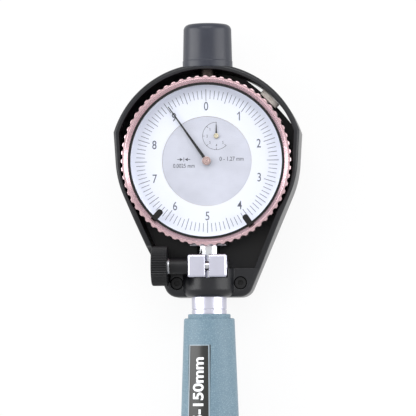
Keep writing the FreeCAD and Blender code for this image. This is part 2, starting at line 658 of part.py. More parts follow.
def stem_clamp():
    """Split clamp for the stem, with a shank through the saddle and a spigot into the tube."""
    barrel = bar_y(EAR_HALF_WIDTH, EAR_BOTTOM, EAR_TOP)
    ears = block(-EAR_HALF_WIDTH, EAR_HALF_WIDTH, EAR_BOTTOM, EAR_TOP, 0, EAR_FRONT)
    head = ears.fuse(barrel).removeSplitter()
    ends = [e for e in head.Edges
            if e.BoundBox.YMax - e.BoundBox.YMin < 0.01 and e.BoundBox.ZMin < EAR_FRONT - 0.01]
    head = head.makeFillet(EAR_ROUND, ends)
    fronts = [e for e in head.Edges if e.BoundBox.ZMin > EAR_FRONT - 0.01]
    head = head.makeChamfer(EAR_EDGE, fronts)
    slot = block(-EAR_SLOT / 2, EAR_SLOT / 2, EAR_BOTTOM - 1, EAR_TOP + 1, 0, 2 * EAR_FRONT)
    head = head.cut(slot)
    lips = [e for e in head.Edges
            if e.BoundBox.ZMin > EAR_FRONT - 0.01 and e.BoundBox.XMax - e.BoundBox.XMin < 0.01]
    head = head.makeChamfer(EAR_EDGE / 2, lips)
    shank = bar_y(SHANK_RADIUS, GRIP_TOP, EAR_BOTTOM)
    groove = GRIP_TOP + SHANK_DROP / 4
    shank = shank.cut(bar_y(SHANK_RADIUS, groove, groove + 0.3).cut(bar_y(SHANK_RADIUS - 0.3, groove, groove + 0.3)))
    spigot = bar_y(TUBE_BORE - SEAT_GAP, SPIGOT_END, GRIP_TOP)
    clamp = head.fuse(shank).fuse(spigot).removeSplitter()
    clamp = clamp.cut(bar_y(STEM_RADIUS + SEAT_GAP, STEM_BOTTOM - 0.5, 0))
    rod_space = ROD_TOP - ROD_HEAD_LENGTH - 4.0
    clamp = clamp.cut(bar_y(CLAMP_ROD_BORE, rod_space, 0))
    clamp = clamp.cut(bar_y(ROD_RADIUS + SIDE_GAP, SPIGOT_END, 0))
    clamp = clamp.cut(bar_x(CLAMP_SHANK_RADIUS + RUNNING_GAP, -2 * EAR_HALF_WIDTH, 2 * EAR_HALF_WIDTH,
                            CLAMP_Y, CLAMP_Z))
    return clamp


def clamp_sleeve():
    """Black spacer between the left ear and the knob."""
    sleeve = bar_x(SLEEVE_RADIUS, SLEEVE_END, -EAR_HALF_WIDTH, CLAMP_Y, CLAMP_Z)
    return sleeve.cut(bar_x(CLAMP_SHANK_RADIUS + RUNNING_GAP, 2 * SLEEVE_END, 0, CLAMP_Y, CLAMP_Z))


def clamp_screw():
    """Steel clamp screw, with a collar that shows beside the knob."""
    end = EAR_HALF_WIDTH - EAR_EDGE
    shank = bar_x(CLAMP_SHANK_RADIUS, KNOB_OUTER + KNOB_LENGTH / 3, end, CLAMP_Y, CLAMP_Z)
    collar = bar_x(SLEEVE_RADIUS - SIDE_GAP, KNOB_INNER, SLEEVE_END - PUSH_GAP, CLAMP_Y, CLAMP_Z)
    return shank.fuse(collar).removeSplitter()


def knurled(body, radius, count, groove, x0, x1, y, z):
    """Straight knurl of V grooves along X in a round body."""
    depth = radius - groove
    half = math.pi * radius / count * 0.8
    cutter = prism_x([(depth, 0), (radius + groove, -half * 2), (radius + groove, half * 2)], x0, x1)
    cutters = []
    for step in range(count):
        copy = cutter.copy()
        copy.rotate(V(0, 0, 0), X_AXIS, FULL_TURN * step / count)
        copy.translate(V(0, y, z))
        cutters.append(copy)
    return body.cut(cutters)


def clamp_knob():
    """Knurled black knob of the clamp screw."""
    body = turned_x([(KNOB_OUTER, 0), (KNOB_OUTER, KNOB_RADIUS, KNOB_EDGE),
                     (KNOB_INNER, KNOB_RADIUS, KNOB_EDGE / 2), (KNOB_INNER, 0)], CLAMP_Y, CLAMP_Z)
    body = knurled(body, KNOB_RADIUS, KNOB_TEETH, KNOB_GROOVE, 2 * KNOB_OUTER, 0, CLAMP_Y, CLAMP_Z)
    blind = bar_x(CLAMP_SHANK_RADIUS, KNOB_OUTER + KNOB_LENGTH / 3, 0, CLAMP_Y, CLAMP_Z)
    return body.cut(blind)


# Grip and tube

def grip_radius(y):
    """Outer radius of the tapered grip at a height."""
    share = (GRIP_BODY_TOP - y) / GRIP_BODY_LENGTH
    return GRIP_TOP_RADIUS + (GRIP_BOTTOM_RADIUS - GRIP_TOP_RADIUS) * share


def label_piece(extra):
    """Curved plate laid into the left front of the grip."""
    top = GRIP_BODY_TOP - LABEL_DROP
    end = top - LABEL_LENGTH
    proud = LABEL_PROUD
    sunk = LABEL_THICKNESS + extra
    ring = turned_y([(grip_radius(end) - sunk, end - extra), (grip_radius(end) + proud, end - extra),
                     (grip_radius(top) + proud, top + extra), (grip_radius(top) - sunk, top + extra)])
    reach = LABEL_HALF_WIDTH + extra
    keep = block(-reach, reach, end - 1, top + 1, 0, 2 * GRIP_BOTTOM_RADIUS)
    return ring.common(spun(keep, LABEL_ANGLE, V(0, 0, 0), Y_AXIS))


def grip():
    """Tapered hand grip on the tube."""
    body = turned_y([(TUBE_RADIUS + SEAT_GAP, GRIP_TOP), (GRIP_STEP_RADIUS, GRIP_TOP, 0.3),
                     (GRIP_STEP_RADIUS, GRIP_BODY_TOP), (GRIP_TOP_RADIUS, GRIP_BODY_TOP, 0.6),
                     (GRIP_BOTTOM_RADIUS, GRIP_BODY_END, 1.2), (GRIP_RING_RADIUS, GRIP_BODY_END),
                     (GRIP_RING_RADIUS, GRIP_END, 1.5), (TUBE_RADIUS + SEAT_GAP, GRIP_END)])
    return body.cut(label_piece(SEAT_GAP))


def main_tube():
    """Long tube between the clamp and the measuring head."""
    return bar_y(TUBE_RADIUS, TUBE_END, GRIP_TOP).cut(bar_y(TUBE_BORE, TUBE_END, GRIP_TOP))


def push_rod():
    """Rod that carries the stylus movement up to the indicator."""
    rod = turned_y([(0, ROD_END), (ROD_RADIUS, ROD_END, 0.2), (ROD_RADIUS, ROD_TOP), (0, ROD_TOP)])
    head = bar_y(ROD_HEAD_RADIUS, ROD_TOP - ROD_HEAD_LENGTH, ROD_TOP)
    collar = bar_y(ROD_COLLAR_RADIUS, ROD_COLLAR_TOP - ROD_COLLAR_LENGTH, ROD_COLLAR_TOP)
    return rod.fuse(head).fuse(collar).removeSplitter()


def rod_spring():
    """Spring that presses the push rod down on the crank."""
    return coil(ROD_SPRING_RADIUS, ROD_SPRING_WIRE, ROD_SPRING_PITCH, ROD_SPRING_LENGTH,
                V(0, ROD_COLLAR_TOP, 0), Y_AXIS)


def rod_guides():
    """Bushes that keep the push rod in the middle of the tube."""
    guides = []
    for step in range(ROD_GUIDE_COUNT):
        top = ROD_GUIDE_TOP - step * ROD_GUIDE_SPACING
        ring = bar_y(TUBE_BORE - SEAT_GAP, top - ROD_GUIDE_LENGTH, top)
        guides.append(ring.cut(bar_y(ROD_RADIUS + RUNNING_GAP, top - 2 * ROD_GUIDE_LENGTH, top + 1)))
    return Part.makeCompound(guides)


# Measuring head

def crank_cavity():
    """Hollow in the head for the crank and the ends of the stylus and rod."""
    margin = CAVITY_MARGIN
    swing = STYLUS_TRAVEL
    half = CRANK_HALF_THICKNESS + SIDE_GAP
    box = block(BUSH_INNER, CRANK_BALL + margin, MEASURE_Y - CRANK_BALL - margin,
                CRANK_Y + CRANK_HUB + swing + margin, -half, half)
    stylus = bar_x(STYLUS_RADIUS + PUSH_GAP, BUSH_INNER, STYLUS_INNER + swing + margin, MEASURE_Y, 0)
    rod = bar_y(ROD_RADIUS + PUSH_GAP, ROD_END, HEAD_TOP)
    return box.fuse(stylus).fuse(rod)


def end_screw_places():
    """Places of the end cap screws in X and Z."""
    x = HEAD_HALF_X - END_SCREW_INSET_X
    z = HEAD_HALF_Z - END_SCREW_INSET_Z
    return [(-x, -z), (x, -z), (x, z), (-x, z)]


def head_body():
    """Block that carries the stylus, the anvil, the crank and the bridge."""
    body = block(-HEAD_HALF_X, HEAD_HALF_X, HEAD_BLOCK_END, HEAD_BLOCK_TOP, -HEAD_HALF_Z, HEAD_HALF_Z)
    longs = [e for e in body.Edges if e.BoundBox.YMax - e.BoundBox.YMin > HEAD_BODY_LENGTH - 0.01]
    body = body.makeChamfer(HEAD_EDGE, longs)
    neck = turned_y([(0, HEAD_BLOCK_TOP), (HEAD_NECK_RADIUS, HEAD_BLOCK_TOP),
                     (HEAD_NECK_RADIUS, HEAD_TOP, HEAD_EDGE), (0, HEAD_TOP)])
    body = body.fuse(neck).removeSplitter()
    body = body.cut(bar_y(TUBE_RADIUS + SEAT_GAP, TUBE_END, HEAD_TOP + 1))
    body = body.cut(crank_cavity())
    body = body.cut(bar_x(STYLUS_BUSH_RADIUS, -2 * HEAD_HALF_X, BUSH_INNER, MEASURE_Y, 0))
    body = body.cut(bar_x(ANVIL_RADIUS, HEAD_HALF_X - ANVIL_DEPTH, 2 * HEAD_HALF_X, MEASURE_Y, 0))
    body = body.cut(bar_z(CRANK_PIN_RADIUS, -CRANK_PIN_HALF, CRANK_PIN_HALF, CRANK_X, CRANK_Y))
    rod_end = BRIDGE_OUTER + GUIDE_ROD_REACH + BRIDGE_TRAVEL + SIDE_GAP
    for side in (-1, 1):
        z = side * GUIDE_ROD_Z
        body = body.cut(bar_x(GUIDE_ROD_RADIUS + PUSH_GAP, -2 * HEAD_HALF_X, rod_end, MEASURE_Y, z))
        body = body.cut(bar_x(BRIDGE_SPRING_POCKET, -2 * HEAD_HALF_X,
                              BRIDGE_POCKET_DEPTH - HEAD_HALF_X, MEASURE_Y, z))
    for x, z in end_screw_places():
        screw_top = HEAD_END + END_SCREW_LENGTH
        body = body.cut(bar_y(END_SCREW_RADIUS, HEAD_END, screw_top, x, z))
    return body


def head_end_cap():
    """Cover plate on the end of the head."""
    plate = block(-HEAD_HALF_X, HEAD_HALF_X, HEAD_END, HEAD_BLOCK_END, -HEAD_HALF_Z, HEAD_HALF_Z)
    longs = [e for e in plate.Edges if e.BoundBox.YMax - e.BoundBox.YMin > END_CAP_THICKNESS - 0.01]
    plate = plate.makeChamfer(HEAD_EDGE, longs)
    for x, z in end_screw_places():
        plate = plate.cut(bar_y(END_SCREW_RADIUS, HEAD_END, HEAD_BLOCK_END, x, z))
        plate = plate.cut(bar_y(END_SCREW_HEAD, HEAD_END, HEAD_END + END_CAP_THICKNESS / 2, x, z))
    return plate


def end_cap_screws():
    """Four flat screws of the end cap."""
    screws = []
    for x, z in end_screw_places():
        screw = bar_y(END_SCREW_RADIUS, HEAD_END, HEAD_END + END_SCREW_LENGTH, x, z)
        head = bar_y(END_SCREW_HEAD - SEAT_GAP, HEAD_END, HEAD_END + END_CAP_THICKNESS / 2, x, z)
        slit = block(x - 2 * END_SCREW_HEAD, x + 2 * END_SCREW_HEAD, HEAD_END - 1,
                     HEAD_END + END_CAP_THICKNESS / 4, z - 0.2, z + 0.2)
        screws.append(screw.fuse(head).removeSplitter().cut(slit))
    return Part.makeCompound(screws)


def stylus():
    """Moving measuring contact."""
    waist = STYLUS_TIP + STYLUS_TIP_LENGTH
    nose = STYLUS_INNER - STYLUS_NOSE_LENGTH
    return turned_x([(STYLUS_TIP, 0), (STYLUS_TIP, STYLUS_TIP_RADIUS, STYLUS_TIP_RADIUS * 0.9),
                     (waist, STYLUS_TIP_RADIUS), (waist, STYLUS_RADIUS, 0.2),
                     (nose, STYLUS_RADIUS, 0.2), (nose, STYLUS_NOSE_RADIUS),
                     (STYLUS_INNER, STYLUS_NOSE_RADIUS), (STYLUS_INNER, 0)], MEASURE_Y, 0)


def stylus_bush():
    """Guide bush of the stylus."""
    outer = -HEAD_HALF_X - STYLUS_BUSH_OUT
    ring = turned_x([(outer, 0), (outer, STYLUS_BUSH_RADIUS, 0.4),
                     (BUSH_INNER, STYLUS_BUSH_RADIUS), (BUSH_INNER, 0)], MEASURE_Y, 0)
    return ring.cut(bar_x(STYLUS_RADIUS + RUNNING_GAP, 2 * outer, 0, MEASURE_Y, 0))


def bell_crank():
    """Two-armed crank that turns the stylus movement through a right angle."""
    low = -CRANK_HALF_THICKNESS
    high = CRANK_HALF_THICKNESS
    hub = bar_z(CRANK_HUB, low, high, CRANK_X, CRANK_Y)
    down = block(CRANK_X - CRANK_HALF_WIDTH, CRANK_X + CRANK_HALF_WIDTH, MEASURE_Y, CRANK_Y, low, high)
    across = block(CRANK_X, CRANK_X + CRANK_ARM, CRANK_Y - CRANK_HALF_WIDTH, CRANK_Y + CRANK_HALF_WIDTH,
                   low, high)
    nose_down = bar_z(CRANK_BALL, low, high, CRANK_X, MEASURE_Y)
    nose_across = bar_z(CRANK_BALL, low, high, CRANK_X + CRANK_ARM, CRANK_Y)
    crank = hub.fuse([down, across, nose_down, nose_across]).removeSplitter()
    return crank.cut(bar_z(CRANK_PIN_RADIUS + RUNNING_GAP, low, high, CRANK_X, CRANK_Y))


def crank_pin():
    """Fixed pin that the crank turns on."""
    return bar_z(CRANK_PIN_RADIUS, -CRANK_PIN_HALF, CRANK_PIN_HALF, CRANK_X, CRANK_Y)


def centring_bridge():
    """Sprung plate that sets the stylus across the bore."""
    half = BRIDGE_HALF_HEIGHT
    plate = prism_x([(MEASURE_Y - half, -GUARD_BACK, 2.0), (MEASURE_Y + half, -GUARD_BACK, 2.0),
                     (MEASURE_Y + half, GUARD_BACK, 2.0), (MEASURE_Y - half, GUARD_BACK, 2.0)],
                    BRIDGE_OUTER, BRIDGE_INNER)
    hole = STYLUS_BUSH_RADIUS + BRIDGE_STYLUS_GAP
    plate = plate.cut(bar_x(hole, BRIDGE_OUTER, BRIDGE_INNER, MEASURE_Y, 0))
    for side in (-1, 1):
        plate = plate.cut(bar_x(SHOE_SHANK_RADIUS, BRIDGE_OUTER, BRIDGE_INNER, MEASURE_Y, side * SHOE_Z))
        plate = plate.cut(bar_x(GUIDE_ROD_RADIUS, BRIDGE_OUTER, BRIDGE_INNER, MEASURE_Y,
                                side * GUIDE_ROD_Z))
    return plate


def bridge_shoes():
    """Two rounded contact buttons on the bridge."""
    shoes = []
    for side in (-1, 1):
        shoes.append(turned_x([(BRIDGE_OUTER - SHOE_OUT, 0), (BRIDGE_OUTER - SHOE_OUT, SHOE_RADIUS, 1.6),
                               (BRIDGE_OUTER, SHOE_RADIUS), (BRIDGE_OUTER, SHOE_SHANK_RADIUS),
                               (BRIDGE_INNER, SHOE_SHANK_RADIUS), (BRIDGE_INNER, 0)],
                              MEASURE_Y, side * SHOE_Z))
    return Part.makeCompound(shoes)


def bridge_guide_rods():
    """Two rods that carry the bridge in the head."""
    rods = []
    for side in (-1, 1):
        rods.append(bar_x(GUIDE_ROD_RADIUS, BRIDGE_OUTER, BRIDGE_OUTER + GUIDE_ROD_REACH,
                          MEASURE_Y, side * GUIDE_ROD_Z))
    return Part.makeCompound(rods)


def bridge_springs():
    """Springs that push the bridge out."""
    springs = []
    length = BRIDGE_POCKET_DEPTH - HEAD_HALF_X - BRIDGE_INNER
    for side in (-1, 1):
        springs.append(coil(BRIDGE_SPRING_RADIUS, BRIDGE_SPRING_WIRE, BRIDGE_SPRING_PITCH, length,
                            V(BRIDGE_INNER, MEASURE_Y, side * GUIDE_ROD_Z), X_AXIS))
    return Part.makeCompound(springs)


def anvil():
    """Fixed measuring contact, screwed into the head."""
    waist = ANVIL_TIP - ANVIL_TIP_LENGTH
    inner = HEAD_HALF_X - ANVIL_DEPTH
    return turned_x([(inner, 0), (inner, ANVIL_RADIUS, 0.3), (waist, ANVIL_RADIUS, 0.3),
                     (waist, ANVIL_TIP_RADIUS), (ANVIL_TIP, ANVIL_TIP_RADIUS, ANVIL_TIP_RADIUS * 0.9),
                     (ANVIL_TIP, 0)], MEASURE_Y, 0)


def anvil_lock_nut():
    """Hexagon nut that locks the anvil."""
    corners = []
    for step in range(6):
        angle = math.radians(60 * step)
        reach = NUT_HALF_FLATS / math.cos(math.radians(30))
        corners.append((MEASURE_Y + reach * math.cos(angle), reach * math.sin(angle)))
    nut = prism_x(corners, HEAD_HALF_X, HEAD_HALF_X + NUT_THICKNESS)
    return nut.cut(bar_x(ANVIL_RADIUS, HEAD_HALF_X, HEAD_HALF_X + NUT_THICKNESS, MEASURE_Y, 0))


# Indicator case

def lock_hole(radius):
    """Radial hole for the bezel lock screw."""
    hole = bar_x(radius, LEDGE_RADIUS, 2 * CASE_RADIUS, 0, LOCK_Z)
    return spun(hole, WINDOW_ANGLE)


def case_screw_places():
    """Places of the back cover screws."""
    circle = (CASE_BORE + CASE_RADIUS) / 2
    return [polar(circle, 45 + FULL_TURN * step / COVER_SCREW_COUNT) for step in range(COVER_SCREW_COUNT)]


def plate_screw_places():
    """Places of the main plate screws."""
    return [polar(PLATE_SCREW_CIRCLE, FULL_TURN * step / PLATE_SCREW_COUNT)
            for step in range(PLATE_SCREW_COUNT)]


def indicator_case():
    """Round case of the indicator, with bosses for the stem and the upper bush."""
    ring = turned_z([(CASE_BORE, CASE_BACK), (CASE_RADIUS, CASE_BACK, 0.3), (CASE_RADIUS, CASE_SHOULDER, 0.2),
                     (NECK_RADIUS, CASE_SHOULDER), (NECK_RADIUS, NECK_TOP, 0.2), (CASE_BORE, NECK_TOP)])
    ledge = bar_z(CASE_BORE, LEDGE_BOTTOM, LEDGE_TOP).cut(bar_z(LEDGE_RADIUS, LEDGE_BOTTOM, LEDGE_TOP))
    low_boss = block(-BOSS_HALF_WIDTH, BOSS_HALF_WIDTH, -BOSS_OUT, -LEDGE_RADIUS, BOSS_BACK, CASE_SHOULDER)
    top_boss = block(-TOP_BOSS_HALF_WIDTH, TOP_BOSS_HALF_WIDTH, LEDGE_RADIUS, TOP_BOSS_OUT,
                     TOP_BOSS_BACK, CASE_SHOULDER)
    inside = bar_z(CASE_BORE, LEDGE_TOP, NECK_TOP)
    fork = GUIDE_PIN_RADIUS + GUIDE_FORK_WALL
    fork_top = GUIDE_PIN_Y + STYLUS_TRAVEL + GUIDE_PIN_RADIUS + RUNNING_GAP + GUIDE_FORK_WALL
    fork_end = GUIDE_PIN_Y - GUIDE_PIN_RADIUS - RUNNING_GAP - GUIDE_FORK_WALL
    guide = block(-GUIDE_FORK_X - GUIDE_FORK_WALL, -GUIDE_FORK_X, fork_end, fork_top,
                  CASE_BACK, fork)
    post = bar_z(RETURN_POST_RADIUS, CASE_BACK, GUIDE_PIN_RADIUS, RETURN_SPRING_X, RETURN_POST_Y)
    web = block(-CASE_BORE, CASE_BORE, RETURN_POST_Y - 2.0, GUIDE_PIN_Y + 4.0, CASE_BACK, CASE_BACK + 1.5)
    web = web.common(bar_z(CASE_BORE, CASE_BACK, 0))
    case = ring.fuse([ledge, low_boss.cut(inside), top_boss.cut(inside), web, guide, post]).removeSplitter()
    case = case.cut(bar_y(SPINDLE_RADIUS + LEVEL_GAP, -CASE_BORE, CASE_BORE))
    case = case.cut(bar_y(STEM_RADIUS, -2 * CASE_RADIUS, -CASE_BORE + 1.0))
    case = case.cut(bar_y(UPPER_BUSH_RADIUS, CASE_BORE - 1.0, 2 * CASE_RADIUS))
    slot = block(-2 * GUIDE_FORK_X, -GUIDE_FORK_X / 2, GUIDE_PIN_Y - GUIDE_PIN_RADIUS - RUNNING_GAP,
                 GUIDE_PIN_Y + STYLUS_TRAVEL + GUIDE_PIN_RADIUS + RUNNING_GAP,
                 -GUIDE_PIN_RADIUS - RUNNING_GAP, 2 * fork)
    case = case.cut(slot)
    case = case.cut(lock_hole(LOCK_SHANK_RADIUS + RUNNING_GAP))
    for place in case_screw_places():
        case = case.cut(bar_z(COVER_SCREW_RADIUS, CASE_BACK, CASE_BACK + COVER_SCREW_DEPTH, place.x, place.y))
    for place in plate_screw_places():
        case = case.cut(bar_z(PLATE_SCREW_RADIUS, LEDGE_TOP - PLATE_SCREW_BITE, LEDGE_TOP, place.x, place.y))
    return case


def back_cover():
    """Flat cover on the back of the case."""
    back = CASE_BACK - COVER_THICKNESS
    cover = turned_z([(0, back), (CASE_RADIUS - 0.2, back, 0.4), (CASE_RADIUS - 0.2, CASE_BACK), (0, CASE_BACK)])
    for place in case_screw_places():
        cover = cover.cut(bar_z(COVER_SCREW_RADIUS, back, CASE_BACK, place.x, place.y))
        cover = cover.cut(bar_z(COVER_SCREW_HEAD, back, back + COVER_THICKNESS / 2, place.x, place.y))
    return cover


def back_cover_screws():
    """Small screws of the back cover."""
    back = CASE_BACK - COVER_THICKNESS
    screws = []
    for place in case_screw_places():
        screw = bar_z(COVER_SCREW_RADIUS, back, CASE_BACK + COVER_SCREW_DEPTH, place.x, place.y)
        head = bar_z(COVER_SCREW_HEAD - SEAT_GAP, back, back + COVER_THICKNESS / 2, place.x, place.y)
        slit = block(place.x - 2, place.x + 2, place.y - 0.12, place.y + 0.12, back - 1,
                     back + COVER_THICKNESS / 4)
        screws.append(screw.fuse(head).removeSplitter().cut(slit))
    return Part.makeCompound(screws)


def stem():
    """Tube below the case that the clamp holds."""
    tube = turned_y([(0, STEM_BOTTOM), (STEM_RADIUS, STEM_BOTTOM, 0.4),
                     (STEM_RADIUS, -CASE_BORE), (0, -CASE_BORE)])
    return tube.cut(bar_y(SPINDLE_RADIUS + RUNNING_GAP, 2 * STEM_BOTTOM, 0))


def upper_bush():
    """Bush for the upper end of the spindle."""
    top = TOP_BOSS_OUT + 0.4
    tube = turned_y([(0, CASE_BORE - 0.6), (UPPER_BUSH_RADIUS, CASE_BORE - 0.6),
                     (UPPER_BUSH_RADIUS, top, 0.3), (0, top)])
    return tube.cut(bar_y(SPINDLE_RADIUS + RUNNING_GAP, 0, 2 * CASE_RADIUS))


# Bezel, dial and crystal

def bezel():
    """Turning rim with a scalloped edge and a sloped inner face."""
    front = BEZEL_FRONT - BEZEL_STEP
    ring = turned_z([(NECK_RADIUS + RUNNING_GAP, BEZEL_BACK), (BEZEL_RADIUS, BEZEL_BACK, 0.3),
                     (BEZEL_RADIUS, front, 0.4), (BEZEL_STEP_RADIUS, front),
                     (BEZEL_STEP_RADIUS - 0.1, BEZEL_FRONT, 0.1), (CRYSTAL_RADIUS + SEAT_GAP, CRYSTAL_RING_TOP),
                     (CRYSTAL_RADIUS + SEAT_GAP, BEZEL_LEDGE_TOP), (BEZEL_LEDGE_RADIUS, BEZEL_LEDGE_TOP),
                     (BEZEL_LEDGE_RADIUS, NECK_TOP + SIDE_GAP), (NECK_RADIUS + RUNNING_GAP, NECK_TOP + SIDE_GAP)])
    centre = BEZEL_RADIUS - BEZEL_SCALLOP_DEPTH + BEZEL_SCALLOP_RADIUS
    cutters = []
    for step in range(BEZEL_SCALLOPS):
        place = polar(centre, FULL_TURN * (step + 0.5) / BEZEL_SCALLOPS)
        cutters.append(bar_z(BEZEL_SCALLOP_RADIUS, 0, 2 * BEZEL_FRONT, place.x, place.y))
    return ring.cut(cutters)


def crystal():
    """Clear window of the dial."""
    return bar_z(CRYSTAL_RADIUS, CRYSTAL_SEAT, CRYSTAL_TOP)


def crystal_ring():
    """Black ring that holds the crystal in the bezel."""
    ring = bar_z(CRYSTAL_RADIUS, CRYSTAL_TOP, CRYSTAL_RING_TOP)
    return ring.cut(bar_z(CRYSTAL_RING_BORE, CRYSTAL_TOP, CRYSTAL_RING_TOP))


def dial_scale_ring():
    """Outer dial with the divisions, which turns with the bezel."""
    top = BEZEL_LEDGE_TOP + DIAL_THICKNESS
    return bar_z(CRYSTAL_RADIUS, BEZEL_LEDGE_TOP, top).cut(bar_z(DIAL_BORE, BEZEL_LEDGE_TOP, top))


def dial_spacer():
    """Ring between the dial and the crystal."""
    low = BEZEL_LEDGE_TOP + DIAL_THICKNESS
    return bar_z(CRYSTAL_RADIUS, low, CRYSTAL_SEAT).cut(bar_z(CRYSTAL_RING_BORE, low, CRYSTAL_SEAT))


def dial_centre_plate():
    """Fixed grey middle of the dial."""
    plate = bar_z(CENTRE_PLATE_RADIUS, BRIDGE_PLATE_TOP, CENTRE_PLATE_TOP)
    for place in (CENTRE_PLACE, COUNTER_PLACE):
        plate = plate.cut(bar_z(ARBOR_RADIUS + SIDE_GAP, 0, BEZEL_FRONT, place.x, place.y))
    return plate


def limit_marker(angle):
    """Black tab over the edge of the crystal, clipped on its ring."""
    low = CRYSTAL_TOP + MARKER_GAP
    lip = CRYSTAL_RING_TOP + MARKER_GAP
    top = lip + MARKER_THICKNESS
    reach = CRYSTAL_RING_BORE - MARKER_GAP
    half = MARKER_HALF_WIDTH
    tab = prism([(MARKER_INNER, -half, 0.8 * half), (MARKER_INNER, half, 0.8 * half),
                 (CRYSTAL_RADIUS, half), (CRYSTAL_RADIUS, -half)], low, top)
    tab = tab.cut(bar_z(CRYSTAL_RADIUS + 1, 0, lip).cut(bar_z(reach, 0, lip)))
    tab = tab.common(bar_z(CRYSTAL_RADIUS, 0, BEZEL_FRONT))
    return spun(tab, angle)


def bezel_lock_screw():
    """Knurled screw beside the bezel."""
    inner = CASE_RADIUS + SIDE_GAP
    head_start = BEZEL_RADIUS + LOCK_HEAD_GAP
    shank = bar_x(LOCK_SHANK_RADIUS, LOCK_INNER, head_start, 0, LOCK_Z)
    head = turned_x([(head_start, 0), (head_start, LOCK_HEAD_RADIUS, 0.2),
                     (head_start + LOCK_HEAD_LENGTH, LOCK_HEAD_RADIUS, 0.2),
                     (head_start + LOCK_HEAD_LENGTH, 0)], 0, LOCK_Z)
    head = knurled(head, LOCK_HEAD_RADIUS, LOCK_HEAD_TEETH, LOCK_HEAD_GROOVE, inner, 2 * CASE_RADIUS, 0, LOCK_Z)
    return spun(shank.fuse(head).removeSplitter(), WINDOW_ANGLE)


def bezel_lock_shoe():
    """Small clamp on the lock screw, under the edge of the bezel."""
    inner = CASE_RADIUS + PUSH_GAP
    outer = BEZEL_RADIUS - BEZEL_SCALLOP_DEPTH
    shoe = block(inner, outer, -SHOE_HALF_WIDTH, SHOE_HALF_WIDTH, SHOE_LOW, BEZEL_BACK - PUSH_GAP)
    shoe = shoe.cut(bar_z(inner, -GUARD_BACK, GUARD_BACK))
    shoe = shoe.cut(bar_x(LOCK_SHANK_RADIUS + RUNNING_GAP, 0, 2 * outer, 0, LOCK_Z))
    return spun(shoe, WINDOW_ANGLE)


# Pointer, counter hand and gear train

def tooth_gap_phase(line, teeth, phase):
    """Share of a tooth pitch between a wheel's tooth and the line of centres."""
    pitch = FULL_TURN / teeth
    return ((line - phase) / pitch) % 1.0


def mating_phase(line, teeth, phase, mate_teeth):
    """Tooth angle of a wheel that meshes with another along a line of centres."""
    share = 0.5 - tooth_gap_phase(line, teeth, phase)
    return line + 180.0 - share * FULL_TURN / mate_teeth


def toothed(module, teeth, phase, z0, z1, place):
    """Spur wheel with slim straight-sided teeth, one of them at the phase angle."""
    pitch_radius = module * teeth / 2
    root = pitch_radius - TOOTH_DROP * module
    tip = pitch_radius + TOOTH_RISE * module
    corners = []
    for step in range(teeth):
        for radius, share in ((root, -TOOTH_ROOT_SHARE), (tip, -TOOTH_TIP_SHARE),
                              (tip, TOOTH_TIP_SHARE), (root, TOOTH_ROOT_SHARE)):
            point = polar(radius, phase + FULL_TURN * (step + share) / teeth) + place
            corners.append((point.x, point.y))
    return prism(corners, z0, z1)


def middle_place():
    """Centre of the middle wheel, at mesh distance from the rack wheel and the centre."""
    first = MODULE * (RACK_WHEEL_TEETH + MIDDLE_PINION_TEETH) / 2
    second = MODULE * (MIDDLE_WHEEL_TEETH + CENTRE_PINION_TEETH) / 2
    span = RACK_WHEEL_PLACE.Length
    along = (second ** 2 - first ** 2 + span ** 2) / (2 * span)
    aside = math.sqrt(second ** 2 - along ** 2)
    unit = V(RACK_WHEEL_PLACE).normalize()
    left = V(-unit.y, unit.x, 0)
    return unit * along + left * aside


def heading(start, end):
    """Angle of the line from one place to another."""
    return math.degrees(math.atan2(end.y - start.y, end.x - start.x))


MIDDLE_PLACE = middle_place()
MIDDLE_PINION_PHASE = mating_phase(heading(RACK_WHEEL_PLACE, MIDDLE_PLACE), RACK_WHEEL_TEETH, 0.0,
                                   MIDDLE_PINION_TEETH)
CENTRE_PINION_PHASE = mating_phase(heading(MIDDLE_PLACE, CENTRE_PLACE), MIDDLE_WHEEL_TEETH, 0.0,
                                   CENTRE_PINION_TEETH)
COUNTER_WHEEL_PHASE = mating_phase(heading(CENTRE_PLACE, COUNTER_PLACE), CENTRE_PINION_TEETH,
                                   CENTRE_PINION_PHASE, COUNTER_WHEEL_TEETH)
RACK_PINION_PHASE = 180.0 - FULL_TURN / RACK_PINION_TEETH / 2


def arbor(z0, z1, place):
    """Thin shaft of a wheel."""
    return bar_z(ARBOR_RADIUS, z0, z1, place.x, place.y)


def lightened(wheel, teeth, z0, place):
    """Wheel with round holes in its web."""
    rim = MODULE * teeth / 2 - 4 * MODULE
    middle = (rim + WHEEL_HUB_RADIUS) / 2
    beside = middle * math.sin(math.pi / WHEEL_HOLES) - WHEEL_SPOKE / 2
    hole = min((rim - WHEEL_HUB_RADIUS - WHEEL_SPOKE) / 2, beside)
    for step in range(WHEEL_HOLES):
        spot = polar(middle, FULL_TURN * step / WHEEL_HOLES) + place
        wheel = wheel.cut(bar_z(hole, z0 - 1, z0 + 2, spot.x, spot.y))
    return wheel


def rack_wheel():
    """Pinion on the spindle rack with the first wheel on its arbor."""
    pinion = toothed(RACK_MODULE, RACK_PINION_TEETH, RACK_PINION_PHASE, -1.0, 1.0, RACK_WHEEL_PLACE)
    wheel = toothed(MODULE, RACK_WHEEL_TEETH, 0.0, LEVEL_1, LEVEL_1 + WHEEL_THICKNESS, RACK_WHEEL_PLACE)
    wheel = lightened(wheel, RACK_WHEEL_TEETH, LEVEL_1, RACK_WHEEL_PLACE)
    shaft = arbor(-1.3, BRIDGE_PLATE_TOP, RACK_WHEEL_PLACE)
    return wheel.fuse([pinion, shaft]).removeSplitter()


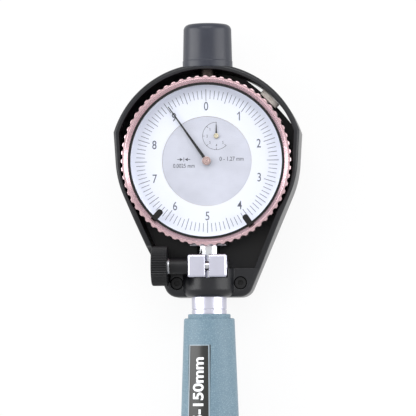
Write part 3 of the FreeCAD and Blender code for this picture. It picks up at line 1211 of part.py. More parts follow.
def intermediate_wheel():
    """Second arbor: pinion on the first level, wheel on the second."""
    pinion = toothed(MODULE, MIDDLE_PINION_TEETH, MIDDLE_PINION_PHASE, LEVEL_1,
                     LEVEL_1 + WHEEL_THICKNESS, MIDDLE_PLACE)
    wheel = toothed(MODULE, MIDDLE_WHEEL_TEETH, 0.0, LEVEL_2, LEVEL_2 + WHEEL_THICKNESS, MIDDLE_PLACE)
    wheel = lightened(wheel, MIDDLE_WHEEL_TEETH, LEVEL_2, MIDDLE_PLACE)
    shaft = arbor(LEDGE_TOP, BRIDGE_PLATE_TOP, MIDDLE_PLACE)
    return wheel.fuse([pinion, shaft]).removeSplitter()


def centre_arbor():
    """Centre arbor with a long pinion, which carries the pointer."""
    pinion = toothed(MODULE, CENTRE_PINION_TEETH, CENTRE_PINION_PHASE, LEVEL_2 - LEVEL_GAP / 2,
                     LEVEL_3 + WHEEL_THICKNESS, CENTRE_PLACE)
    shaft = arbor(LEDGE_TOP, POINTER_HUB_BOTTOM + POINTER_HUB_HEIGHT - 0.3, CENTRE_PLACE)
    return pinion.fuse(shaft).removeSplitter()


def counter_wheel():
    """Slow wheel that turns the counter hand and takes up the slack."""
    wheel = toothed(MODULE, COUNTER_WHEEL_TEETH, COUNTER_WHEEL_PHASE, LEVEL_3,
                    LEVEL_3 + WHEEL_THICKNESS, COUNTER_PLACE)
    wheel = lightened(wheel, COUNTER_WHEEL_TEETH, LEVEL_3, COUNTER_PLACE)
    shaft = arbor(LEDGE_TOP, COUNTER_HAND_BOTTOM + COUNTER_HAND_THICKNESS, COUNTER_PLACE)
    collet = bar_z(HAIRSPRING_INNER - HAIRSPRING_THICKNESS, LEVEL_1, LEVEL_3, COUNTER_PLACE.x, COUNTER_PLACE.y)
    return wheel.fuse([shaft, collet]).removeSplitter()


def hand(place, length, root, end, low, thickness, turned):
    """Thin tapered hand that points up and is then turned clockwise."""
    blade = prism([(place.x - root, place.y), (place.x - end, place.y + length),
                   (place.x + end, place.y + length), (place.x + root, place.y)], low, low + thickness)
    return spun(blade, -turned, place)


def main_pointer():
    """Pointer with its hub."""
    blade = hand(CENTRE_PLACE, POINTER_LENGTH, POINTER_ROOT, POINTER_END, POINTER_BOTTOM,
                 POINTER_THICKNESS, POINTER_READING)
    top = POINTER_HUB_BOTTOM + POINTER_HUB_HEIGHT
    hub = turned_z([(0, POINTER_HUB_BOTTOM), (POINTER_HUB_RADIUS, POINTER_HUB_BOTTOM),
                    (POINTER_HUB_RADIUS, top, 0.2), (0, top)])
    pointer = blade.fuse(hub).removeSplitter()
    return pointer.cut(bar_z(ARBOR_RADIUS, 0, top - 0.3))


def counter_hand():
    """Small hand that counts the turns."""
    blade = hand(COUNTER_PLACE, COUNTER_LENGTH, 0.28, 0.1, COUNTER_HAND_BOTTOM,
                 COUNTER_HAND_THICKNESS, 0.0)
    hub = bar_z(COUNTER_HUB_RADIUS, COUNTER_HAND_BOTTOM, COUNTER_HAND_BOTTOM + COUNTER_HUB_HEIGHT,
                COUNTER_PLACE.x, COUNTER_PLACE.y)
    small = blade.fuse(hub).removeSplitter()
    return small.cut(bar_z(ARBOR_RADIUS, 0, COUNTER_HAND_BOTTOM + COUNTER_HAND_THICKNESS,
                           COUNTER_PLACE.x, COUNTER_PLACE.y))


def spiral_arcs(offset):
    """Half-circle arcs of the hairspring spiral, moved out by an offset."""
    arcs = []
    for step in range(2 * HAIRSPRING_TURNS):
        radius = HAIRSPRING_INNER + HAIRSPRING_THICKNESS / 2 + HAIRSPRING_STEP * step / 2 + offset
        centre = COUNTER_PLACE + V(HAIRSPRING_STEP / 2 * (step % 2), 0, LEVEL_1)
        side = 1 - 2 * (step % 2)
        arcs.append(Part.Arc(centre + V(side * radius, 0, 0), centre + V(0, side * radius, 0),
                             centre - V(side * radius, 0, 0)))
    return arcs


def hairspring_end():
    """Outer end of the hairspring."""
    reach = HAIRSPRING_INNER + HAIRSPRING_THICKNESS / 2 + HAIRSPRING_STEP * HAIRSPRING_TURNS
    return COUNTER_PLACE + V(reach, 0, 0)


def hairspring():
    """Flat spiral spring on the counter arbor, held by a stud on the main plate."""
    outer = spiral_arcs(HAIRSPRING_THICKNESS / 2)
    inner = spiral_arcs(-HAIRSPRING_THICKNESS / 2)
    edges = [arc.toShape() for arc in outer]
    edges.append(Part.LineSegment(outer[-1].EndPoint, inner[-1].EndPoint).toShape())
    edges.extend(arc.toShape() for arc in reversed(inner))
    edges.append(Part.LineSegment(inner[0].StartPoint, outer[0].StartPoint).toShape())
    loop = Part.Wire(Part.__sortEdges__(edges))
    return Part.Face(loop).extrude(V(0, 0, HAIRSPRING_HEIGHT))


def arbor_places():
    """Centres of all wheels."""
    return [CENTRE_PLACE, RACK_WHEEL_PLACE, MIDDLE_PLACE, COUNTER_PLACE]


def main_plate():
    """Plate under the gear train, with the stud of the hairspring."""
    plate = bar_z(MAIN_PLATE_RADIUS, LEDGE_TOP, MAIN_PLATE_TOP)
    stud_at = hairspring_end() + V(0, STUD_RADIUS + SEAT_GAP, 0)
    stud = bar_z(STUD_RADIUS, MAIN_PLATE_TOP, LEVEL_1 + HAIRSPRING_HEIGHT, stud_at.x, stud_at.y)
    plate = plate.fuse(stud).removeSplitter()
    for place in arbor_places():
        plate = plate.cut(bar_z(JEWEL_RADIUS, LEDGE_TOP, MAIN_PLATE_TOP, place.x, place.y))
    for place in plate_screw_places():
        plate = plate.cut(bar_z(PLATE_SCREW_RADIUS, LEDGE_TOP, MAIN_PLATE_TOP, place.x, place.y))
    for x, y in PILLAR_PLACES:
        plate = plate.cut(bar_z(PILLAR_SCREW_RADIUS, LEDGE_TOP, MAIN_PLATE_TOP, x, y))
    return plate


def bridge_plate():
    """Plate over the gear train."""
    plate = bar_z(BRIDGE_PLATE_RADIUS, BRIDGE_PLATE_BACK, BRIDGE_PLATE_TOP)
    for place in arbor_places():
        plate = plate.cut(bar_z(JEWEL_RADIUS, 0, BEZEL_FRONT, place.x, place.y))
    for x, y in PILLAR_PLACES:
        plate = plate.cut(bar_z(PILLAR_SCREW_HEAD, 0, BEZEL_FRONT, x, y))
    return plate


def plate_pillars():
    """Pillars between the two plates."""
    pillars = []
    for x, y in PILLAR_PLACES:
        pillar = bar_z(PILLAR_RADIUS, MAIN_PLATE_TOP, BRIDGE_PLATE_BACK, x, y)
        pillars.append(pillar.cut(bar_z(PILLAR_SCREW_RADIUS, 0, BEZEL_FRONT, x, y)))
    return Part.makeCompound(pillars)


def bridge_screws():
    """Screws through the pillars into the main plate, flush with the bridge plate."""
    screws = []
    for x, y in PILLAR_PLACES:
        screw = bar_z(PILLAR_SCREW_RADIUS, LEDGE_TOP, BRIDGE_PLATE_TOP, x, y)
        head = bar_z(PILLAR_SCREW_HEAD - SEAT_GAP, BRIDGE_PLATE_BACK, BRIDGE_PLATE_TOP, x, y)
        screws.append(screw.fuse(head).removeSplitter())
    return Part.makeCompound(screws)


def main_plate_screws():
    """Screws that hold the main plate on the case ledge."""
    screws = []
    for place in plate_screw_places():
        screw = bar_z(PLATE_SCREW_RADIUS, LEDGE_TOP - PLATE_SCREW_BITE,
                      MAIN_PLATE_TOP, place.x, place.y)
        head = bar_z(PLATE_SCREW_HEAD, MAIN_PLATE_TOP, MAIN_PLATE_TOP + PLATE_SCREW_HEAD_HEIGHT,
                     place.x, place.y)
        screws.append(screw.fuse(head).removeSplitter())
    return Part.makeCompound(screws)


def jewel_bearings():
    """Bearing rings in both plates for the four arbors."""
    rings = []
    for low, high in ((LEDGE_TOP, MAIN_PLATE_TOP), (BRIDGE_PLATE_BACK, BRIDGE_PLATE_TOP)):
        for place in arbor_places():
            ring = bar_z(JEWEL_RADIUS - SEAT_GAP, low, high, place.x, place.y)
            rings.append(ring.cut(bar_z(ARBOR_RADIUS + RUNNING_GAP, low, high, place.x, place.y)))
    return Part.makeCompound(rings)


# Spindle

def spindle():
    """Sliding spindle with a toothed rack beside the pinion."""
    body = turned_y([(0, SPINDLE_BOTTOM), (SPINDLE_RADIUS, SPINDLE_BOTTOM, 0.2),
                     (SPINDLE_RADIUS, SPINDLE_TOP, 0.2), (0, SPINDLE_TOP)])
    tip = RACK_LINE + TOOTH_RISE * RACK_MODULE
    root = RACK_LINE - TOOTH_DROP * RACK_MODULE
    half_gap = (0.5 - TOOTH_TIP_SHARE) * RACK_PITCH
    foot = (0.5 - TOOTH_ROOT_SHARE) * RACK_PITCH
    first = RACK_WHEEL_Y - RACK_PITCH * (RACK_TEETH // 2)
    last = first + RACK_PITCH * (RACK_TEETH - 1)
    body = body.cut(block(tip, 2 * SPINDLE_RADIUS, first - half_gap, last + half_gap,
                          -SPINDLE_RADIUS, SPINDLE_RADIUS))
    gaps = []
    for step in range(RACK_TEETH - 1):
        y = first + RACK_PITCH * (step + 0.5)
        gaps.append(prism([(root, y - foot), (root, y + foot), (tip, y + half_gap),
                           (tip + 1, y + half_gap), (tip + 1, y - half_gap), (tip, y - half_gap)],
                          -SPINDLE_RADIUS, SPINDLE_RADIUS))
    body = body.cut(gaps)
    return body.cut(bar_x(GUIDE_PIN_RADIUS, -2 * SPINDLE_RADIUS, 0, GUIDE_PIN_Y, 0))


def contact_point():
    """Screwed-in contact point at the lower end of the spindle."""
    ball = CONTACT_TIP_RADIUS
    return turned_y([(0, CONTACT_TIP), (ball, CONTACT_TIP, 0.95 * ball), (ball, CONTACT_TIP + 2 * ball),
                     (CONTACT_RADIUS, CONTACT_TIP + 3 * ball), (CONTACT_RADIUS, SPINDLE_BOTTOM),
                     (0, SPINDLE_BOTTOM)])


def spindle_cap():
    """Sleeve on the upper end of the spindle."""
    low = TOP_BOSS_OUT + 0.4 + SPINDLE_CAP_GAP
    top = SPINDLE_TOP + SPINDLE_CAP_TOP
    sleeve = turned_y([(0, low), (SPINDLE_CAP_RADIUS, low, 0.3), (SPINDLE_CAP_RADIUS, top, 0.5), (0, top)])
    return sleeve.cut(bar_y(SPINDLE_RADIUS, 0, SPINDLE_TOP))


def guide_pin():
    """Cross pin that keeps the spindle from turning."""
    return bar_x(GUIDE_PIN_RADIUS, -GUIDE_PIN_REACH, 0, GUIDE_PIN_Y, 0)


def return_spring():
    """Light spring between the guide pin and a post in the case."""
    low = RETURN_POST_Y + RETURN_POST_RADIUS
    length = GUIDE_PIN_Y - GUIDE_PIN_RADIUS - low
    return coil(RETURN_SPRING_RADIUS, RETURN_SPRING_WIRE, RETURN_SPRING_PITCH, length,
                V(RETURN_SPRING_X, low, 0), Y_AXIS)


def range_label():
    """Plate with the measuring range, laid into the grip."""
    return label_piece(0.0)


def limit_marker_left():
    """Limit marker on the left of the dial."""
    return limit_marker(MARKER_LEFT_ANGLE)


def limit_marker_right():
    """Limit marker on the right of the dial."""
    return limit_marker(MARKER_RIGHT_ANGLE)


PIECES = (guard_shell, guard_saddle, guard_screws, guard_cap, stem_clamp, clamp_sleeve, clamp_screw,
          clamp_knob, grip, range_label, main_tube, push_rod, rod_spring, rod_guides, head_body,
          head_end_cap, end_cap_screws, stylus, stylus_bush, anvil, anvil_lock_nut, bell_crank,
          crank_pin, centring_bridge, bridge_shoes, bridge_guide_rods, bridge_springs, indicator_case,
          back_cover, back_cover_screws, stem, upper_bush, bezel, crystal, crystal_ring,
          dial_scale_ring, dial_spacer, dial_centre_plate, main_pointer, centre_arbor, counter_hand,
          counter_wheel, hairspring, rack_wheel, intermediate_wheel, main_plate, bridge_plate,
          plate_pillars, bridge_screws, main_plate_screws, jewel_bearings, spindle, contact_point,
          spindle_cap, return_spring, guide_pin, bezel_lock_screw, bezel_lock_shoe,
          limit_marker_left, limit_marker_right)

os.makedirs("parts", exist_ok=True)
for piece in PIECES:
    shape = piece()
    shape.translate(V(0, SHIFT, LIFT))
    shape.exportStep("parts/" + piece.__name__ + ".step")
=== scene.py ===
import math
import bpy
from mathutils import Matrix, Vector


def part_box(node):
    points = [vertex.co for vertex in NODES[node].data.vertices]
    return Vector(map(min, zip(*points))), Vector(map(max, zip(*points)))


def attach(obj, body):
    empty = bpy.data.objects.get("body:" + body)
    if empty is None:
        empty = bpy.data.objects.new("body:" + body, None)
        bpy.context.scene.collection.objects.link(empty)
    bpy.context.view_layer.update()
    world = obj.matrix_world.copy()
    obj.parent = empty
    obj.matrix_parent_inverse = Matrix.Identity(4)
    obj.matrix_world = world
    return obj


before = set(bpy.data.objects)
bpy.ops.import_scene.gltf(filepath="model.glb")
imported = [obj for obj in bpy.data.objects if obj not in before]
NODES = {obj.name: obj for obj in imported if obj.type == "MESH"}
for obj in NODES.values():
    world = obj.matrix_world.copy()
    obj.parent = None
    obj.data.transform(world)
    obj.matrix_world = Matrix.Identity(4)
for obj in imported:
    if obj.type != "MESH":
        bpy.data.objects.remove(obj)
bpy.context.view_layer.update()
MM = 0.001
X_AXIS, Y_AXIS, Z_AXIS = range(3)

bl_info = {
    "name": "Dial bore gauge",
    "version": (1, 0, 0),
    "blender": (4, 5, 0),
    "location": "3D View > Sidebar > Bore gauge",
    "description": "Dresses the bore gauge in its finishes and adds its dial and lettering",
    "category": "Object",
}


# Places read from the solids

def middle(node):
    """Centre of a node's box."""
    low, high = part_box(node)
    return (low + high) / 2


DIAL_CENTRE = middle("crystal")
AXIS_HEIGHT = middle("main_tube").z
HANDLE_AXIS = Vector((0, 0, AXIS_HEIGHT))

# Label laid round the handle: its place and width are those of its solid
LABEL_ANGLE = math.radians(-20.6)
LABEL_HALF_WIDTH = 4.0 * MM
LABEL_RADIUS = 9.9 * MM
LABEL_END_ZONE = 0.5 * MM
# Painted highlight along the label's edge: how far in from the edge it lies, and how far it
# reaches either side
LABEL_HIGHLIGHT_PLACE = 0.1 * MM
LABEL_HIGHLIGHT_REACH = 0.2 * MM
LABEL_TEXT = "35-150mm"
LABEL_TEXT_BOLD = 0.025
LABEL_TEXT_BANDS = 12
LABEL_TEXT_INSET = 4.2 * MM
LABEL_TEXT_LIFT = 0.015 * MM

# Print on the dials
PRINT_THICKNESS = 0.02 * MM
PRINT_LIFT = 0.01 * MM
DIVISIONS_PER_LONG_LINE = 5
LONG_LINE_WIDTH = 1.1
FIGURES_ROUND_DIAL = 10
FLAG_SHIFT = (-0.07, -0.13)
FLAG_TURN = 0.75
FLAG_SIZE = (0.26, 0.075)

# Counter scale: one turn of the pointer is one step of it
COUNTER_TURNS = 5
COUNTER_STEP = math.radians(45)
COUNTER_RADIUS = 4.6 * MM
COUNTER_LINE_LENGTH = 0.7 * MM
COUNTER_LINE_WIDTH = 0.14 * MM
COUNTER_ARC_DASHES = 60
COUNTER_ARC_DASH = 0.33 * MM
COUNTER_ARC_HALF_WIDTH = 0.065 * MM
COUNTER_FIGURE_RADIUS = 3.1 * MM
COUNTER_FIGURE_HEIGHT = 0.9 * MM
COUNTER_FIGURE_NARROW = 0.8

# Small print of the middle dial: text, its place from the dial's centre and its height, in mm
SMALL_TEXTS = (("0.0025 mm", -7.7, -1.5, 1.35), ("0 - 1.27 mm", 8.3, 0.7, 1.4))
SMALL_TEXT_NARROW = 0.85
ARROWS_PLACE = (-7.7, 0.6)
ARROW_SHIFT = 1.0 * MM
ARROW_RADIUS = 0.65 * MM
TAIL_SHIFT = 1.8 * MM
TAIL_SIZE = (0.8 * MM, 0.2 * MM)
ARROWS_LINE_SIZE = (0.18 * MM, 1.4 * MM)

# Hub buttons: radius, depth and, as shares of the radius, the inset and sink of each step
POINTER_BUTTON = (1.46 * MM, 0.34 * MM)
POINTER_BUTTON_LIFT = 0.02 * MM
COUNTER_BUTTON = (0.82 * MM, 0.2 * MM)
BUTTON_SIDES = 48
BUTTON_STEPS = ((0.51, 0.0), (0.08, -0.11), (0.055, 0.08))
BUTTON_EDGE = 0.05
BUTTON_SMOOTH = math.radians(35)

# Refraction and colours that several finishes share
PLASTIC_IOR = 1.5
RUBY_IOR = 1.76
CRYSTAL_TINT = (0.985, 0.99, 1.0, 1.0)
CRYSTAL_IN_VIEWPORT = (0.9, 0.95, 1.0, 0.2)

# Studio, in metres where it isn't given in mm
FLOOR_SIZE = 6.0
FLOOR_DROP = 0.05 * MM
FLOOR_WHITE_SHARE = 0.9
SENSOR_WIDTH = 36.0
AIM_LEFT = 0.2 * MM
AIM_LOW = 15.4 * MM
LAMP_AIM = (0, -0.02, 0)
LAMPS = (  # name, place from what it is aimed at, size, share of the lamp power
    ("lamp_left", (-0.6, 0.1, 0.2), (0.3, 0.9), 1.0),
    ("lamp_right", (0.62, 0.1, 0.2), (0.3, 0.9), 0.8),
    ("lamp_top", (0.0, 0.6, 0.75), (0.8, 0.4), 1.0),
)

# Light of the room: how bright its parts are, and where they lie on the unit sphere about it
ROOM_LEVEL = 0.8
ROOM_TINT = (0.97, 0.97, 1.0, 1.0)
CEILING_SHARE = 0.6
CEILING_HEIGHTS = (0.72, 0.95)
NEAR_END_SHARE = 0.22
NEAR_END_REACH = (-0.85, -0.35)


def linear(code):
    """A hex colour in sRGB as the linear colour that shaders take."""
    parts = [int(code[i:i + 2], 16) / 255 for i in (1, 3, 5)]
    values = [c / 12.92 if c <= 0.04045 else ((c + 0.055) / 1.055) ** 2.4 for c in parts]
    return (*values, 1.0)


WHITE = linear("#ffffff")


# Settings

def colour(name, text, code):
    """A colour setting with its default given in hex."""
    return bpy.props.FloatVectorProperty(name=name, description=text, subtype="COLOR", size=3,
                                         min=0.0, max=1.0, default=linear(code)[:3])


def length(name, text, millimetres):
    """A length setting with its default given in millimetres."""
    return bpy.props.FloatProperty(name=name, description=text, subtype="DISTANCE", unit="LENGTH",
                                   min=0.0, default=millimetres * MM, precision=5)


def turning(name, text, degrees):
    """An angle setting with its default given in degrees."""
    return bpy.props.FloatProperty(name=name, description=text, subtype="ANGLE",
                                   default=math.radians(degrees))


class GAUGE_PG_dial(bpy.types.PropertyGroup):
    """Print on the two dials"""
    divisions: bpy.props.IntProperty(name="Divisions", description="Fine divisions round the dial",
                                     default=100, min=10)
    line_width: length("Line width", "Width of a fine division line", 0.17)
    line_inner: length("Line start", "Radius where a fine line starts", 20.8)
    line_outer: length("Line end", "Radius where a fine line ends", 23.7)
    long_inner: length("Long line start", "Radius where every fifth line starts", 20.1)
    long_outer: length("Long line end", "Radius where every fifth line ends", 24.1)
    figure_radius: length("Figure circle", "Radius of the circle of figures", 18.4)
    figure_height: length("Figure height", "Height of a figure", 2.9)
    figure_narrow: bpy.props.FloatProperty(name="Figure width", default=0.78, min=0.3, max=1.5,
                                           description="Width of a figure against its font",
                                           subtype="FACTOR")
    print_turn: turning("Print turn", "Turn of the printed dial at rest", 0.35)
    ink: colour("Ink", "Dark grey of the print", "#4b4d57")
    white: colour("Dial white", "Enamel of the outer dial", "#eef0f8")
    grey: colour("Dial grey", "Satin metal of the middle dial", "#cdced6")


class GAUGE_PG_grip(bpy.types.PropertyGroup):
    """Handle and its label"""
    enamel: colour("Enamel", "Blue-grey of the handle", "#7c94a1")
    # Painted shade: a darker blue-grey that stands in for the shade in the hollows between the
    # wrinkles
    enamel_dark: colour("Enamel in the hollows", "Darker blue-grey between the wrinkles",
                        "#627d8c")
    label: colour("Label", "Black of the label", "#1c1d1b")
    figures: colour("Figures", "White of the figures", "#f2f3f5")
    figure_height: length("Figure height", "Height of the label's figures", 3.95)
    figures_length: length("Figures length", "Length of the line of figures", 24.6)


class GAUGE_PG_metal(bpy.types.PropertyGroup):
    """Metals and plastics"""
    rose: colour("Rose anodising", "Colour of the bezel", "#cdafb4")
    black: colour("Black plastic", "Colour of the guard", "#15161a")
    cap: colour("Cap", "Colour of the cap", "#272a35")
    steel: colour("Ground steel", "Colour of the clamp", "#c8c8d6")
    bright: colour("Bright plating", "Colour of plated steel", "#d4d6da")
    brass: colour("Brass", "Colour of the movement", "#c9a862")


class GAUGE_PG_studio(bpy.types.PropertyGroup):
    """Camera and light"""
    camera_distance: length("Camera distance", "Distance from the dial", 1200.0)
    view_height: length("View height", "Height of the picture at the gauge", 139.9)
    camera_side: turning("Camera side", "Angle of the camera to the right", 4.0)
    camera_low: turning("Camera low", "Angle of the camera to the handle's end", 2.5)
    camera_roll: turning("Camera roll", "Turn of the picture", -0.385)
    lamp_power: bpy.props.FloatProperty(name="Lamp power", default=4.0, min=0.0,
                                        description="Power of the left and top lamps in watts",
                                        subtype="POWER", unit="POWER")
    floor: colour("Floor", "Pale floor", "#f4f4f5")


# Finishes

def add(tree, kind, values=None, links=None):
    """One node with its settings, its input values and its links."""
    node = tree.nodes.new(kind)
    for key, value in (values or {}).items():
        if isinstance(key, str) and hasattr(node, key):
            setattr(node, key, value)
        else:
            node.inputs[key].default_value = value
    for key, source in (links or {}).items():
        tree.links.new(source, node.inputs[key])
    return node


def finish(name, base, metallic, roughness, sockets=None):
    """A new material with its main shader set by plain values."""
    material = bpy.data.materials.new(name)
    material.use_nodes = True
    tree = material.node_tree
    tree.nodes.clear()
    shader = add(tree, "ShaderNodeBsdfPrincipled",
                 {"Base Color": (*base[:3], 1.0), "Metallic": metallic, "Roughness": roughness,
                  **(sockets or {})})
    add(tree, "ShaderNodeOutputMaterial", links={"Surface": shader.outputs[0]})
    material.diffuse_color = (*base[:3], 1.0)
    return material, tree, shader


def place_of(tree, scale=(1.0, 1.0, 1.0)):
    """Position in the gauge, stretched where a pattern runs one way."""
    where = add(tree, "ShaderNodeTexCoord")
    return add(tree, "ShaderNodeMapping", {"Scale": scale},
               {"Vector": where.outputs["Object"]}).outputs[0]


def patches(millimetres, detail=3.0, rough=0.55):
    """Settings of a noise whose patches are that size."""
    return {"Scale": 1 / (millimetres * MM), "Detail": detail, "Roughness": rough}


def toned(base, share, lift=0.0):
    """A colour made darker or paler."""
    return [min(1, c * share + lift) for c in base[:3]]


def surfaced(tree, shader, cloud, tones, wear=None, gloss=None, relief=None, depth_mm=0.0,
             strength=0.4, edge_mm=None):
    """Ties patterns to a shader: two tones, a span of roughness, relief and softened edges."""
    tint = add(tree, "ShaderNodeMix", {"data_type": "RGBA", 6: (*tones[0][:3], 1.0),
                                       7: (*tones[1][:3], 1.0)}, {0: cloud})
    tree.links.new(tint.outputs[2], shader.inputs["Base Color"])
    if wear is not None:
        worn = add(tree, "ShaderNodeMapRange", {"To Min": gloss[0], "To Max": gloss[1]},
                   {"Value": wear})
        tree.links.new(worn.outputs[0], shader.inputs["Roughness"])
    if relief is not None:
        bump = add(tree, "ShaderNodeBump", {"Strength": strength, "Distance": depth_mm * MM},
                   {"Height": relief})
        tree.links.new(bump.outputs[0], shader.inputs["Normal"])
        if edge_mm is not None:
            edge = add(tree, "ShaderNodeBevel", {"samples": 6, "Radius": edge_mm * MM})
            tree.links.new(edge.outputs[0], bump.inputs["Normal"])


def moulded_black(name, base):
    """Moulded plastic: spark-eroded grain that breaks the highlights, and rounded edges."""
    material, tree, shader = finish(name, base, 0.0, 0.31,
                                    {"IOR": PLASTIC_IOR, "Specular IOR Level": 0.36})
    where = {"Vector": place_of(tree)}
    # Real grain is finer than this 0.25 mm, which is as coarse as it needs to show
    fine = add(tree, "ShaderNodeTexNoise", patches(0.25), where).outputs["Fac"]
    cloud = add(tree, "ShaderNodeTexNoise", patches(9.0, 2.0), where).outputs["Fac"]
    surfaced(tree, shader, cloud, (toned(base, 0.85), toned(base, 1.25)), cloud, (0.26, 0.39),
             fine, depth_mm=0.015, strength=0.6, edge_mm=0.35)
    return material


def soft_cap(name, base):
    """Rubbery plastic: broad soft highlights, slightly clouded, and no sharp edge."""
    material, tree, shader = finish(name, base, 0.0, 0.38,
                                    {"IOR": PLASTIC_IOR, "Specular IOR Level": 0.42})
    where = {"Vector": place_of(tree)}
    cloud = add(tree, "ShaderNodeTexNoise", patches(5.0, 4.0, 0.6), where).outputs["Fac"]
    # The moulded grain is drawn at 0.2 mm, coarser than real, so that it shows
    fine = add(tree, "ShaderNodeTexNoise", patches(0.2), where).outputs["Fac"]
    surfaced(tree, shader, cloud, (toned(base, 0.88), toned(base, 1.15)), cloud, (0.31, 0.45),
             fine, depth_mm=0.012, strength=0.5, edge_mm=0.4)
    return material


def wrinkle_enamel(name, settings):
    """Baked wrinkle paint: ridges about 0.6 mm apart, with painted shade that darkens the hollows
    between them, so that their tops look paler.
    """
    material, tree, shader = finish(name, settings.enamel, 0.0, 0.42, {"IOR": PLASTIC_IOR})
    where = place_of(tree)
    swirl = add(tree, "ShaderNodeTexNoise", {"Scale": 1 / (0.9 * MM), "Detail": 2.0},
                {"Vector": where})
    bent = add(tree, "ShaderNodeVectorMath",
               {"operation": "MULTIPLY_ADD", 1: (0.5 * MM, 0.5 * MM, 0.5 * MM)},
               {0: swirl.outputs["Color"], 2: where})
    cells = add(tree, "ShaderNodeTexVoronoi",
                {"feature": "DISTANCE_TO_EDGE", "Scale": 1 / (0.62 * MM)},
                {"Vector": bent.outputs[0]})
    ridge = add(tree, "ShaderNodeMapRange",
                {"From Max": 0.35, "interpolation_type": "SMOOTHSTEP"},
                {"Value": cells.outputs["Distance"]})
    fine = add(tree, "ShaderNodeTexNoise", patches(0.35), {"Vector": where}).outputs["Fac"]
    both = add(tree, "ShaderNodeMath", {"operation": "MULTIPLY_ADD", 1: 0.25},
               {0: fine, 2: ridge.outputs[0]})
    # Painted shade: the darker blue-grey is laid into the hollows between the ridges, where shade
    # would fall
    surfaced(tree, shader, ridge.outputs[0], (settings.enamel_dark, settings.enamel),
             fine, (0.36, 0.52), both.outputs[0], depth_mm=0.06, strength=0.7)
    return material


def turned_metal(name, base, roughness, groove_mm, axis, centre):
    """Metal turned on a lathe: fine rings round its axis that streak the highlights."""
    material, tree, shader = finish(name, base, 1.0, roughness)
    where = add(tree, "ShaderNodeTexCoord").outputs["Object"]
    shifted = add(tree, "ShaderNodeVectorMath", {"operation": "SUBTRACT", 1: tuple(centre)},
                  {0: where})
    keep = tuple(0.0 if i == axis else 1.0 for i in range(3))
    flat = add(tree, "ShaderNodeVectorMath", {"operation": "MULTIPLY", 1: keep},
               {0: shifted.outputs[0]})
    reach = add(tree, "ShaderNodeVectorMath", {"operation": "LENGTH"}, {0: flat.outputs[0]})
    parts = add(tree, "ShaderNodeSeparateXYZ", links={0: shifted.outputs[0]})
    along = add(tree, "ShaderNodeMath", {"operation": "ADD"},
                {0: reach.outputs["Value"], 1: parts.outputs[axis]})
    # Real tool marks lie some hundredths of a millimetre apart: these are coarser, to show
    rings = add(tree, "ShaderNodeTexNoise",
                {"noise_dimensions": "1D", "Scale": 1 / (groove_mm * MM), "Detail": 2.0},
                {"W": along.outputs[0]}).outputs["Fac"]
    cloud = add(tree, "ShaderNodeTexNoise", patches(6.0), {"Vector": where}).outputs["Fac"]
    surfaced(tree, shader, cloud, (toned(base, 0.92), toned(base, 1.06)),
             rings, (roughness - 0.07, roughness + 0.09),
             rings, depth_mm=0.004, strength=0.5, edge_mm=0.12)
    return material


def ground_metal(name, base, roughness, streak=(1.0, 30.0, 30.0)):
    """Ground or drawn metal: fine straight scratches along one way, and small broken edges."""
    material, tree, shader = finish(name, base, 1.0, roughness)
    # 3 mm divided by the streak is the width of a scratch: about 0.1 mm, broader than real ones
    lines = add(tree, "ShaderNodeTexNoise", patches(3.0, 4.0, 0.65),
                {"Vector": place_of(tree, streak)}).outputs["Fac"]
    cloud = add(tree, "ShaderNodeTexNoise", patches(4.0),
                {"Vector": place_of(tree)}).outputs["Fac"]
    surfaced(tree, shader, cloud, (toned(base, 0.9), toned(base, 1.07)),
             lines, (roughness - 0.08, roughness + 0.1),
             lines, depth_mm=0.006, strength=0.5, edge_mm=0.15)
    return material


def printed_ink(name, base):
    """Screen-printed ink: matt, slightly uneven in density."""
    material, tree, shader = finish(name, base, 0.0, 0.6, {"IOR": PLASTIC_IOR})
    blot = add(tree, "ShaderNodeTexNoise", patches(0.3), {"Vector": place_of(tree)}).outputs["Fac"]
    surfaced(tree, shader, blot, (base, toned(base, 1.35, 0.01)))
    return material


def dial_enamel(name, base):
    """White baked enamel: even and satin, with a very slight orange peel."""
    material, tree, shader = finish(name, base, 0.0, 0.45, {"IOR": PLASTIC_IOR})
    where = {"Vector": place_of(tree)}
    cloud = add(tree, "ShaderNodeTexNoise", patches(7.0, 2.0), where).outputs["Fac"]
    peel = add(tree, "ShaderNodeTexNoise", patches(0.5), where).outputs["Fac"]
    surfaced(tree, shader, cloud, (toned(base, 0.975), base), relief=peel, depth_mm=0.004)
    return material


def satin_silver(name, base):
    """Silvered dial: brushed straight across, so it is softly streaked in the light."""
    material, tree, shader = finish(name, base, 0.35, 0.42)
    # Brush lines about 0.15 mm wide, broader than real ones, so that they show
    lines = add(tree, "ShaderNodeTexNoise", patches(4.0, 4.0, 0.7),
                {"Vector": place_of(tree, (1.0, 26.0, 26.0))}).outputs["Fac"]
    cloud = add(tree, "ShaderNodeTexNoise", patches(9.0, 2.0),
                {"Vector": place_of(tree)}).outputs["Fac"]
    mixed = add(tree, "ShaderNodeMath", {"operation": "MULTIPLY_ADD", 1: 0.35},
                {0: lines, 2: cloud})
    shade = add(tree, "ShaderNodeMapRange", {"From Min": 0.35, "From Max": 1.0},
                {"Value": mixed.outputs[0]})
    surfaced(tree, shader, shade.outputs[0], (toned(base, 0.86), toned(base, 1.1)),
             lines, (0.34, 0.5), lines, depth_mm=0.004)
    return material


def black_lacquer(name, base, roughness):
    """Lacquered or blackened steel: dark, with slightly paler worn patches."""
    material, tree, shader = finish(name, base, 0.0, roughness,
                                    {"IOR": PLASTIC_IOR, "Specular IOR Level": 0.3})
    where = {"Vector": place_of(tree)}
    cloud = add(tree, "ShaderNodeTexNoise", patches(1.5, 4.0, 0.6), where).outputs["Fac"]
    fine = add(tree, "ShaderNodeTexNoise", patches(0.3), where).outputs["Fac"]
    surfaced(tree, shader, cloud, (base, toned(base, 1.6, 0.002)),
             cloud, (roughness - 0.06, roughness + 0.1), fine, depth_mm=0.006, edge_mm=0.12)
    return material


